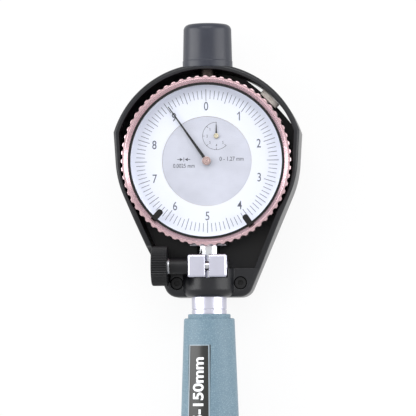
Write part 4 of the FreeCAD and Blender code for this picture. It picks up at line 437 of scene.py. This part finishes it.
def clear_crystal(name):
    """Clear acrylic crystal: nearly unseen, with a faint sheen at a slant and fine dust."""
    material = bpy.data.materials.new(name)
    material.use_nodes = True
    tree = material.node_tree
    tree.nodes.clear()
    dust = add(tree, "ShaderNodeTexNoise", patches(0.8, 4.0), {"Vector": place_of(tree)})
    haze = add(tree, "ShaderNodeMapRange", {"To Min": 0.02, "To Max": 0.08},
               {"Value": dust.outputs["Fac"]})
    gloss = add(tree, "ShaderNodeBsdfGlossy", {"Color": WHITE}, {"Roughness": haze.outputs[0]})
    clear = add(tree, "ShaderNodeBsdfTransparent", {"Color": CRYSTAL_TINT})
    slant = add(tree, "ShaderNodeLayerWeight", {"Blend": 0.2})
    sheen = add(tree, "ShaderNodeMapRange", {"To Min": 0.012, "To Max": 0.4},
                {"Value": slant.outputs["Facing"]})
    mixed = add(tree, "ShaderNodeMixShader",
                links={0: sheen.outputs[0], 1: clear.outputs[0], 2: gloss.outputs[0]})
    add(tree, "ShaderNodeOutputMaterial", links={"Surface": mixed.outputs[0]})
    material.diffuse_color = CRYSTAL_IN_VIEWPORT
    return material


def polished_ruby(name):
    """Synthetic ruby: deep red, polished, with light inside it."""
    material, tree, shader = finish(name, linear("#b01f3c"), 0.0, 0.08,
                                    {"IOR": RUBY_IOR, "Transmission Weight": 0.3})
    cloud = add(tree, "ShaderNodeTexNoise", patches(0.6, 2.0), {"Vector": place_of(tree)})
    surfaced(tree, shader, cloud.outputs["Fac"], (linear("#8e1530"), linear("#c62a48")))
    return material


def label_plate(name, settings):
    """Black plate laid round the handle, with a painted highlight as a thin paler line along its
    edge.
    """
    material, tree, shader = finish(name, settings.label, 0.0, 0.32, {"IOR": PLASTIC_IOR})
    low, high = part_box("range_label")
    where = add(tree, "ShaderNodeTexCoord").outputs["Object"]
    parts = add(tree, "ShaderNodeSeparateXYZ", links={0: where})
    up = add(tree, "ShaderNodeMath", {"operation": "SUBTRACT", 1: AXIS_HEIGHT},
             {0: parts.outputs["Z"]})
    angle = add(tree, "ShaderNodeMath", {"operation": "ARCTAN2"},
                {0: parts.outputs["X"], 1: up.outputs[0]})
    swing = add(tree, "ShaderNodeMath", {"operation": "SUBTRACT", 1: LABEL_ANGLE},
                {0: angle.outputs[0]})
    off = add(tree, "ShaderNodeMath", {"operation": "SINE"}, {0: swing.outputs[0]})
    reach = add(tree, "ShaderNodeMath", {"operation": "ABSOLUTE"}, {0: off.outputs[0]})
    across = add(tree, "ShaderNodeMath", {"operation": "MULTIPLY", 1: LABEL_RADIUS},
                 {0: reach.outputs[0]})
    from_side = add(tree, "ShaderNodeMath", {"operation": "SUBTRACT", 0: LABEL_HALF_WIDTH},
                    {1: across.outputs[0]})
    along = add(tree, "ShaderNodeMath", {"operation": "SUBTRACT", 1: low.y},
                {0: parts.outputs["Y"]})
    from_end = add(tree, "ShaderNodeMath", {"operation": "PINGPONG", 1: (high.y - low.y) / 2},
                   {0: along.outputs[0]})
    edge = add(tree, "ShaderNodeMath", {"operation": "MINIMUM"},
               {0: from_side.outputs[0], 1: from_end.outputs[0]})
    # Painted highlight: a thin paler band all round the edge stands in for the light that the
    # label's edge catches
    line = add(tree, "ShaderNodeMath",
               {"operation": "COMPARE", 1: LABEL_HIGHLIGHT_PLACE, 2: LABEL_HIGHLIGHT_REACH},
               {0: edge.outputs[0]})
    fine = add(tree, "ShaderNodeTexNoise", patches(0.4), {"Vector": where}).outputs["Fac"]
    surfaced(tree, shader, line.outputs[0], (settings.label, linear("#9aa8b1")),
             relief=fine, depth_mm=0.006)
    return material


def dress(material, *names):
    """Gives CAD nodes their finish."""
    for name in names:
        NODES[name].data.materials.clear()
        NODES[name].data.materials.append(material)


# Shapes made by the usual tools

def fresh():
    """Nothing selected, in object mode."""
    if bpy.context.object and bpy.context.object.mode != "OBJECT":
        bpy.ops.object.mode_set(mode="OBJECT")
    bpy.ops.object.select_all(action="DESELECT")


def placed():
    """The active object with its place, turn and size put into its mesh."""
    bpy.ops.object.transform_apply(location=True, rotation=True, scale=True)
    return bpy.context.object


def settled(name, material, body):
    """The active object as a finished piece: its name, its finish and its body."""
    piece = placed()
    piece.name = name
    piece.data.name = name
    piece.data.materials.clear()
    piece.data.materials.append(material)
    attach(piece, body)


def joined(pieces):
    """Several objects made into one."""
    fresh()
    for piece in pieces:
        piece.select_set(True)
    bpy.context.view_layer.objects.active = pieces[0]
    bpy.ops.object.join()
    return bpy.context.object


def extent(piece):
    """Lowest and highest corner of a mesh."""
    corners = [vertex.co for vertex in piece.data.vertices]
    return [Vector([pick(c[i] for c in corners) for i in range(3)]) for pick in (min, max)]


def line_ring(count, inner, outer, width, level, turn=0.0, reach=None, centre=DIAL_CENTRE):
    """Thin radial lines about a centre, all round it unless their whole angle is given."""
    fresh()
    bpy.ops.mesh.primitive_cube_add(
        size=1.0, location=(centre.x, centre.y + (inner + outer) / 2, level),
        scale=(width, outer - inner, PRINT_THICKNESS))
    piece = placed()
    if reach is None:
        reach = 2 * math.pi * (count - 1) / count
    bpy.ops.object.mode_set(mode="EDIT")
    bpy.ops.mesh.select_all(action="SELECT")
    bpy.ops.mesh.spin(steps=count - 1, dupli=True, angle=reach,
                      center=(centre.x, centre.y, level), axis=(0, 0, 1))
    bpy.ops.mesh.select_all(action="SELECT")
    bpy.ops.mesh.normals_make_consistent(inside=False)
    bpy.ops.object.mode_set(mode="OBJECT")
    piece.data.transform(Matrix.Translation(centre) @ Matrix.Rotation(turn, 4, "Z")
                         @ Matrix.Translation(-centre))
    return piece


def bar(place, size):
    """A flat bar of print."""
    fresh()
    bpy.ops.mesh.primitive_plane_add(size=1.0, location=tuple(place))
    bpy.context.object.scale = (*size, 1.0)
    return placed()


def lettered(text, height, place, narrow=1.0, bold=0.005):
    """Figures as a flat mesh, centred on a place, with a flag on a lone one."""
    fresh()
    bpy.ops.object.text_add(location=(0, 0, 0))
    words = bpy.context.object.data
    words.body = text
    words.align_x = "CENTER"
    words.align_y = "CENTER"
    words.size = 1.0
    words.resolution_u = 6
    words.offset = bold
    bpy.ops.object.convert(target="MESH")
    piece = bpy.context.object
    if text == "1":
        piece = flagged(piece)
    low, high = extent(piece)
    grow = height / (high.y - low.y)
    piece.data.transform(Matrix.Translation(place)
                         @ Matrix.Diagonal((grow * narrow, grow, 1.0, 1.0))
                         @ Matrix.Translation(-(low + high) / 2))
    return piece


def flagged(one):
    """The figure one, a bare bar in this font, with a short flag at its top left."""
    low, high = extent(one)
    fresh()
    bpy.ops.mesh.primitive_plane_add(size=1.0)
    flag = bpy.context.object
    flag.data.transform(
        Matrix.Translation((low.x + FLAG_SHIFT[0], high.y + FLAG_SHIFT[1], 0))
        @ Matrix.Rotation(FLAG_TURN, 4, "Z") @ Matrix.Diagonal((*FLAG_SIZE, 1.0, 1.0)))
    return joined([one, flag])


def on_circle(centre, radius, angle):
    """A place on a circle about a centre, at an angle from the X axis."""
    return centre + Vector((math.cos(angle), math.sin(angle), 0)) * radius


# Operators

class GAUGE_OT_guard(bpy.types.Operator):
    """Finish the guard, its saddle, its screws and its cap"""
    bl_idname = "gauge.guard"
    bl_label = "Guard"

    def execute(self, context):
        metal = context.scene.gauge_metal
        dress(moulded_black("moulded_black_guard", metal.black), "guard_shell", "guard_saddle")
        dress(black_lacquer("blackened_screws", linear("#07070a"), 0.4), "guard_screws")
        dress(soft_cap("soft_blue_grey_cap", metal.cap), "guard_cap")
        return {"FINISHED"}


class GAUGE_OT_clamp(bpy.types.Operator):
    """Finish the stem clamp, its screw and its knob"""
    bl_idname = "gauge.clamp"
    bl_label = "Stem clamp"

    def execute(self, context):
        metal = context.scene.gauge_metal
        dress(ground_metal("ground_clamp_steel", metal.steel, 0.3), "stem_clamp")
        dress(black_lacquer("blackened_knob", linear("#09090c"), 0.45),
              "clamp_knob", "clamp_sleeve")
        dress(turned_metal("bright_clamp_screw", linear("#b9babf"), 0.28, 0.3, X_AXIS,
                           middle("clamp_knob")), "clamp_screw")
        return {"FINISHED"}


class GAUGE_OT_grip(bpy.types.Operator):
    """Finish the handle and set the figures on its label"""
    bl_idname = "gauge.grip"
    bl_label = "Grip and label"

    def execute(self, context):
        settings = context.scene.gauge_grip
        dress(wrinkle_enamel("wrinkle_enamel_grip", settings), "grip")
        dress(label_plate("black_label_plate", settings), "range_label")
        height = settings.figure_height
        piece = lettered(LABEL_TEXT, height, Vector((0, 0, 0)), bold=LABEL_TEXT_BOLD)
        low, high = extent(piece)
        stretch = settings.figures_length / (high.x - low.x)
        piece.data.transform(Matrix.Diagonal((stretch, 1.0, 1.0, 1.0)))
        bpy.ops.object.mode_set(mode="EDIT")
        for band in range(1, LABEL_TEXT_BANDS):
            bpy.ops.mesh.select_all(action="SELECT")
            bpy.ops.mesh.bisect(plane_co=(0, (band / LABEL_TEXT_BANDS - 0.5) * height, 0),
                                plane_no=(0, 1, 0))
        bpy.ops.object.mode_set(mode="OBJECT")
        self.wrap(piece)
        ink = printed_ink("white_label_ink", settings.figures)
        settled("label_figures", ink, "gauge_frame")
        return {"FINISHED"}

    def wrap(self, piece):
        """Lays flat figures round the tapered handle, reading up the handle."""
        low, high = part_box("range_label")
        wall = [v.co for v in NODES["range_label"].data.vertices]
        outer = [math.hypot(c.x, c.z - AXIS_HEIGHT) for c in wall]
        top = max(r for r, c in zip(outer, wall) if c.y > high.y - LABEL_END_ZONE)
        end = max(r for r, c in zip(outer, wall) if c.y < low.y + LABEL_END_ZONE)
        longest = max(v.co.x for v in piece.data.vertices)
        for vertex in piece.data.vertices:
            y = high.y - LABEL_TEXT_INSET - longest + vertex.co.x
            share = (high.y - y) / (high.y - low.y)
            radius = top + (end - top) * share + LABEL_TEXT_LIFT
            angle = LABEL_ANGLE - vertex.co.y / radius
            vertex.co = Vector((radius * math.sin(angle), y,
                                AXIS_HEIGHT + radius * math.cos(angle)))


class GAUGE_OT_head(bpy.types.Operator):
    """Finish the tube, the rod and the measuring head"""
    bl_idname = "gauge.head"
    bl_label = "Tube and measuring head"

    def execute(self, context):
        metal = context.scene.gauge_metal
        across = middle("stylus")
        dress(turned_metal("bright_plated_tube", metal.bright, 0.16, 0.4, Y_AXIS, HANDLE_AXIS),
              "main_tube", "stem")
        dress(ground_metal("satin_head_steel", linear("#bfc1c6"), 0.34, (30.0, 1.0, 30.0)),
              "head_body", "head_end_cap", "centring_bridge")
        dress(turned_metal("turned_tool_steel", linear("#aeb0b6"), 0.24, 0.25, X_AXIS, across),
              "stylus", "anvil", "bridge_shoes", "bridge_guide_rods")
        dress(ground_metal("ground_tool_steel", linear("#a4a6ab"), 0.3, (30.0, 30.0, 1.0)),
              "anvil_lock_nut", "end_cap_screws", "bell_crank", "crank_pin", "guide_pin",
              "bezel_lock_shoe")
        dress(turned_metal("drawn_rod_steel", linear("#a4a6ab"), 0.28, 0.5, Y_AXIS, HANDLE_AXIS),
              "push_rod", "spindle", "contact_point")
        dress(ground_metal("spring_wire", linear("#8e9096"), 0.3, (20.0, 1.0, 20.0)),
              "rod_spring", "bridge_springs", "return_spring", "hairspring")
        dress(turned_metal("turned_bush_brass", metal.brass, 0.28, 0.3, X_AXIS, across),
              "stylus_bush")
        dress(turned_metal("turned_guide_brass", metal.brass, 0.3, 0.3, Y_AXIS, HANDLE_AXIS),
              "rod_guides")
        return {"FINISHED"}


class GAUGE_OT_case(bpy.types.Operator):
    """Finish the indicator case, its bezel and its crystal"""
    bl_idname = "gauge.case"
    bl_label = "Case, bezel and crystal"

    def execute(self, context):
        metal = context.scene.gauge_metal
        dress(turned_metal("rose_anodised_bezel", metal.rose, 0.24, 0.18, Z_AXIS, DIAL_CENTRE),
              "bezel")
        dress(turned_metal("turned_case_alloy", linear("#9b9da3"), 0.36, 0.3, Z_AXIS, DIAL_CENTRE),
              "indicator_case", "back_cover")
        dress(ground_metal("small_screw_steel", linear("#a4a6ab"), 0.3),
              "back_cover_screws", "bridge_screws", "main_plate_screws")
        dress(turned_metal("bronzed_bush", linear("#4d4743"), 0.4, 0.3, Y_AXIS, HANDLE_AXIS),
              "upper_bush", "spindle_cap")
        dress(ground_metal("knurled_lock_steel", linear("#cbc5bf"), 0.32, (1.0, 1.0, 20.0)),
              "bezel_lock_screw")
        dress(black_lacquer("black_crystal_ring", linear("#050506"), 0.4),
              "crystal_ring", "limit_marker_left", "limit_marker_right")
        dress(clear_crystal("clear_crystal"), "crystal")
        return {"FINISHED"}


class GAUGE_OT_dial(bpy.types.Operator):
    """Finish the outer dial and print its divisions and figures"""
    bl_idname = "gauge.dial"
    bl_label = "Outer dial"

    def execute(self, context):
        dial = context.scene.gauge_dial
        dress(dial_enamel("white_dial_enamel", dial.white), "dial_scale_ring", "dial_spacer")
        ink = printed_ink("grey_dial_ink", dial.ink)
        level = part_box("dial_scale_ring")[1].z + PRINT_LIFT
        fine = line_ring(dial.divisions, dial.line_inner, dial.line_outer, dial.line_width,
                         level, dial.print_turn)
        strong = line_ring(dial.divisions // DIVISIONS_PER_LONG_LINE, dial.long_inner,
                           dial.long_outer, dial.line_width * LONG_LINE_WIDTH, level,
                           dial.print_turn)
        joined([fine, strong])
        settled("dial_divisions", ink, "bezel_body")
        figures = []
        for number in range(FIGURES_ROUND_DIAL):
            angle = math.pi / 2 - 2 * math.pi * number / FIGURES_ROUND_DIAL + dial.print_turn
            place = on_circle(DIAL_CENTRE, dial.figure_radius, angle)
            place.z = level
            figures.append(lettered(str(number), dial.figure_height, place, dial.figure_narrow))
        joined(figures)
        settled("dial_figures", ink, "bezel_body")
        return {"FINISHED"}


class GAUGE_OT_centre_dial(bpy.types.Operator):
    """Finish the middle dial and print the scale of the counter"""
    bl_idname = "gauge.centre_dial"
    bl_label = "Middle dial"

    def execute(self, context):
        dial = context.scene.gauge_dial
        dress(satin_silver("satin_silver_dial", dial.grey), "dial_centre_plate")
        ink = printed_ink("dark_dial_ink", linear("#33343c"))
        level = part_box("dial_centre_plate")[1].z + PRINT_LIFT
        pieces = self.counter_scale(level)
        place = Vector((DIAL_CENTRE.x + ARROWS_PLACE[0] * MM,
                        DIAL_CENTRE.y + ARROWS_PLACE[1] * MM, level))
        pieces.extend(self.arrows(place))
        for text, across, up, height in SMALL_TEXTS:
            place = Vector((DIAL_CENTRE.x + across * MM, DIAL_CENTRE.y + up * MM, level))
            pieces.append(lettered(text, height * MM, place, SMALL_TEXT_NARROW))
        joined(pieces)
        settled("centre_dial_print", ink, "gauge_frame")
        return {"FINISHED"}

    def counter_scale(self, level):
        """Arc, lines and figures of the counter, which count round to the left from the top."""
        centre = middle("counter_wheel")
        centre.z = level
        reach = -COUNTER_TURNS * COUNTER_STEP
        pieces = [
            line_ring(COUNTER_TURNS + 1, COUNTER_RADIUS - COUNTER_LINE_LENGTH, COUNTER_RADIUS,
                      COUNTER_LINE_WIDTH, level, reach=reach, centre=centre),
            line_ring(COUNTER_ARC_DASHES, COUNTER_RADIUS - COUNTER_ARC_HALF_WIDTH,
                      COUNTER_RADIUS + COUNTER_ARC_HALF_WIDTH, COUNTER_ARC_DASH, level,
                      reach=reach, centre=centre)]
        for number in range(1, COUNTER_TURNS + 1):
            angle = math.pi / 2 + COUNTER_STEP * number
            pieces.append(lettered(str(number), COUNTER_FIGURE_HEIGHT,
                                   on_circle(centre, COUNTER_FIGURE_RADIUS, angle),
                                   COUNTER_FIGURE_NARROW))
        return pieces

    def arrows(self, place):
        """Two small arrows that point at a line between them."""
        pieces = []
        for side in (-1, 1):
            fresh()
            spot = place + Vector((side * ARROW_SHIFT, 0, 0))
            bpy.ops.mesh.primitive_circle_add(
                vertices=3, radius=ARROW_RADIUS, fill_type="NGON", location=tuple(spot),
                rotation=(0, 0, side * math.pi / 2))
            pieces.append(placed())
            pieces.append(bar(place + Vector((side * TAIL_SHIFT, 0, 0)), TAIL_SIZE))
        pieces.append(bar(place, ARROWS_LINE_SIZE))
        return pieces


class GAUGE_OT_hands(bpy.types.Operator):
    """Finish the pointer, its hub and the counter hand"""
    bl_idname = "gauge.hands"
    bl_label = "Hands"

    def execute(self, context):
        dress(black_lacquer("black_hand_lacquer", linear("#050506"), 0.4),
              "main_pointer", "counter_hand")
        dress(turned_metal("arbor_steel", linear("#b4b4b8"), 0.22, 0.2, Z_AXIS, DIAL_CENTRE),
              "centre_arbor")
        copper = turned_metal("copper_hub_button", linear("#b9a09a"), 0.26, 0.12, Z_AXIS,
                              DIAL_CENTRE)
        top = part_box("main_pointer")[1].z + POINTER_BUTTON_LIFT
        self.button("pointer_hub_button", Vector((DIAL_CENTRE.x, DIAL_CENTRE.y, top)),
                    *POINTER_BUTTON, copper, "pointer_body", "hub_copper")
        centre = middle("counter_wheel")
        centre.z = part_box("counter_hand")[1].z
        brass = turned_metal("pale_brass_button", linear("#cdc3a8"), 0.26, 0.1, Z_AXIS, centre)
        self.button("counter_hub_button", centre, *COUNTER_BUTTON, brass, "counter_body", "brass")
        return {"FINISHED"}

    def button(self, name, centre, radius, depth, material, body, slot):
        """Turned button with a dimple in its top, pressed on a hub."""
        fresh()
        bpy.ops.mesh.primitive_cylinder_add(vertices=BUTTON_SIDES, radius=radius, depth=depth,
                                            location=tuple(centre))
        piece = placed()
        bpy.ops.object.mode_set(mode="EDIT")
        bpy.ops.mesh.select_all(action="DESELECT")
        bpy.ops.object.mode_set(mode="OBJECT")
        for face in piece.data.polygons:
            face.select = face.normal.z > 0.9
        bpy.ops.object.mode_set(mode="EDIT")
        bpy.ops.mesh.select_mode(type="FACE")
        for inset, sink in BUTTON_STEPS:
            bpy.ops.mesh.inset(thickness=inset * radius, depth=sink * radius)
        bpy.ops.object.mode_set(mode="OBJECT")
        bevel = piece.modifiers.new("Edge", "BEVEL")
        bevel.width = BUTTON_EDGE * radius
        bevel.segments = 2
        bpy.ops.object.modifier_apply(modifier=bevel.name)
        bpy.ops.object.shade_smooth_by_angle(angle=BUTTON_SMOOTH)
        settled(name, material, body)


class GAUGE_OT_movement(bpy.types.Operator):
    """Finish the wheels, plates and bearings of the movement"""
    bl_idname = "gauge.movement"
    bl_label = "Movement"

    def execute(self, context):
        brass = context.scene.gauge_metal.brass
        for name in ("rack_wheel", "intermediate_wheel", "counter_wheel"):
            dress(turned_metal("turned_brass_" + name, brass, 0.28, 0.25, Z_AXIS, middle(name)),
                  name)
        dress(ground_metal("lapped_plate_brass", brass, 0.32, (1.0, 25.0, 25.0)),
              "main_plate", "bridge_plate")
        dress(turned_metal("turned_pillar_brass", brass, 0.3, 0.3, Z_AXIS, DIAL_CENTRE),
              "plate_pillars")
        dress(polished_ruby("polished_ruby"), "jewel_bearings")
        return {"FINISHED"}


class GAUGE_OT_studio(bpy.types.Operator):
    """Set up the floor, the lamps and the camera"""
    bl_idname = "gauge.studio"
    bl_label = "Studio"

    def execute(self, context):
        studio = context.scene.gauge_studio
        self.floor(studio)
        self.room(context)
        self.lamps(context, studio)
        self.camera(context, studio)
        context.scene.view_settings.view_transform = "Standard"
        return {"FINISHED"}

    def background_rays(self, tree):
        """One for the rays that show the background, and none for those that light the gauge."""
        path = add(tree, "ShaderNodeLightPath")
        clear = add(tree, "ShaderNodeMath", {"operation": "MAXIMUM"},
                    {0: path.outputs["Is Camera Ray"], 1: path.outputs["Is Transmission Ray"]})
        return add(tree, "ShaderNodeMath", {"operation": "MAXIMUM"},
                   {0: clear.outputs[0], 1: path.outputs["Is Glossy Ray"]}).outputs[0]

    def floor(self, studio):
        """Pale floor just below the flat back, seen nearly white but keeping the shadow."""
        fresh()
        bpy.ops.mesh.primitive_plane_add(size=FLOOR_SIZE, location=(0, 0, -FLOOR_DROP))
        piece = bpy.context.object
        piece.name = "studio_floor"
        material, tree, shader = finish("pale_paper_floor", studio.floor, 0.0, 0.8)
        cloud = add(tree, "ShaderNodeTexNoise", patches(40.0, 2.0), {"Vector": place_of(tree)})
        surfaced(tree, shader, cloud.outputs["Fac"], (toned(studio.floor, 0.99), studio.floor))
        light = add(tree, "ShaderNodeEmission", {"Color": WHITE, "Strength": 1.0})
        share = add(tree, "ShaderNodeMath", {"operation": "MULTIPLY", 1: FLOOR_WHITE_SHARE},
                    {0: self.background_rays(tree)})
        mixed = add(tree, "ShaderNodeMixShader",
                    links={0: share.outputs[0], 1: shader.outputs[0], 2: light.outputs[0]})
        output = next(n for n in tree.nodes if n.type == "OUTPUT_MATERIAL")
        tree.links.new(mixed.outputs[0], output.inputs["Surface"])
        piece.data.materials.append(material)

    def room(self, context):
        """White background, and pale walls with a darker ceiling and near end as the light."""
        world = bpy.data.worlds.new("studio_air")
        context.scene.world = world
        world.use_nodes = True
        tree = world.node_tree
        tree.nodes.clear()
        where = add(tree, "ShaderNodeTexCoord").outputs["Generated"]
        parts = add(tree, "ShaderNodeSeparateXYZ", links={0: where})
        high = add(tree, "ShaderNodeMapRange",
                   {"From Min": CEILING_HEIGHTS[0], "From Max": CEILING_HEIGHTS[1],
                    "To Min": ROOM_LEVEL, "To Max": ROOM_LEVEL * CEILING_SHARE,
                    "interpolation_type": "SMOOTHSTEP"}, {"Value": parts.outputs["Z"]})
        near = add(tree, "ShaderNodeMapRange",
                   {"From Min": NEAR_END_REACH[0], "From Max": NEAR_END_REACH[1],
                    "To Min": NEAR_END_SHARE, "To Max": 1.0,
                    "interpolation_type": "SMOOTHSTEP"}, {"Value": parts.outputs["Y"]})
        level = add(tree, "ShaderNodeMath", {"operation": "MULTIPLY"},
                    {0: high.outputs[0], 1: near.outputs[0]})
        walls = add(tree, "ShaderNodeBackground", {"Color": ROOM_TINT},
                    {"Strength": level.outputs[0]})
        white = add(tree, "ShaderNodeBackground", {"Color": WHITE, "Strength": 1.0})
        mixed = add(tree, "ShaderNodeMixShader",
                    links={0: self.background_rays(tree), 1: walls.outputs[0],
                           2: white.outputs[0]})
        add(tree, "ShaderNodeOutputWorld", links={"Surface": mixed.outputs[0]})

    def lamps(self, context, studio):
        """Soft lamps at both sides and beyond the cap."""
        aim = DIAL_CENTRE + Vector(LAMP_AIM)
        for name, place, size, share in LAMPS:
            data = bpy.data.lights.new(name, "AREA")
            data.shape = "RECTANGLE"
            data.size, data.size_y = size
            data.energy = studio.lamp_power * share
            lamp = bpy.data.objects.new(name, data)
            context.scene.collection.objects.link(lamp)
            lamp.location = aim + Vector(place)
            lamp.rotation_euler = (aim - lamp.location).to_track_quat("-Z", "Y").to_euler()

    def camera(self, context, studio):
        """Camera at the photograph's angle, aimed between the dial and the handle's top."""
        data = bpy.data.cameras.new("camera")
        data.sensor_width = SENSOR_WIDTH
        data.sensor_fit = "HORIZONTAL"
        data.lens = SENSOR_WIDTH * studio.camera_distance / studio.view_height
        camera = bpy.data.objects.new("camera", data)
        context.scene.collection.objects.link(camera)
        target = Vector((DIAL_CENTRE.x - AIM_LEFT, DIAL_CENTRE.y - AIM_LOW, AXIS_HEIGHT))
        side = studio.camera_side
        away = Vector((math.sin(side), -math.sin(studio.camera_low), math.cos(side))).normalized()
        up = Matrix.Rotation(studio.camera_roll, 3, away) @ Vector((0, 1, 0))
        right = up.cross(away).normalized()
        up = away.cross(right)
        turn = Matrix((right, up, away)).transposed().to_4x4()
        camera.matrix_world = Matrix.Translation(target + away * studio.camera_distance) @ turn
        context.scene.camera = camera


class GAUGE_PT_panel(bpy.types.Panel):
    """Sidebar panel with the steps and the settings of the bore gauge"""
    bl_idname = "GAUGE_PT_panel"
    bl_label = "Dial bore gauge"
    bl_space_type = "VIEW_3D"
    bl_region_type = "UI"
    bl_category = "Bore gauge"

    def draw(self, context):
        for step in STEPS:
            self.layout.operator(step.bl_idname)
        for name, group in GROUPS:
            box = self.layout.box()
            box.label(text=group.__doc__)
            for setting in group.__annotations__:
                box.prop(getattr(context.scene, name), setting)


STEPS = (GAUGE_OT_guard, GAUGE_OT_clamp, GAUGE_OT_grip, GAUGE_OT_head, GAUGE_OT_case,
         GAUGE_OT_dial, GAUGE_OT_centre_dial, GAUGE_OT_hands, GAUGE_OT_movement,
         GAUGE_OT_studio)
GROUPS = (("gauge_dial", GAUGE_PG_dial), ("gauge_grip", GAUGE_PG_grip),
          ("gauge_metal", GAUGE_PG_metal), ("gauge_studio", GAUGE_PG_studio))


def register():
    """Registers the settings, the operators and the panel."""
    for name, group in GROUPS:
        bpy.utils.register_class(group)
        setattr(bpy.types.Scene, name, bpy.props.PointerProperty(type=group))
    for step in (*STEPS, GAUGE_PT_panel):
        bpy.utils.register_class(step)


def unregister():
    """Removes what register added."""
    for step in (*STEPS, GAUGE_PT_panel):
        bpy.utils.unregister_class(step)
    for name, group in GROUPS:
        delattr(bpy.types.Scene, name)
        bpy.utils.unregister_class(group)


def main():
    """Registers the steps and builds the dressed gauge."""
    register()
    bpy.ops.gauge.guard()
    bpy.ops.gauge.clamp()
    bpy.ops.gauge.grip()
    bpy.ops.gauge.head()
    bpy.ops.gauge.case()
    bpy.ops.gauge.dial()
    bpy.ops.gauge.centre_dial()
    bpy.ops.gauge.hands()
    bpy.ops.gauge.movement()
    bpy.ops.gauge.studio()


if __name__ == "__main__":
    main()
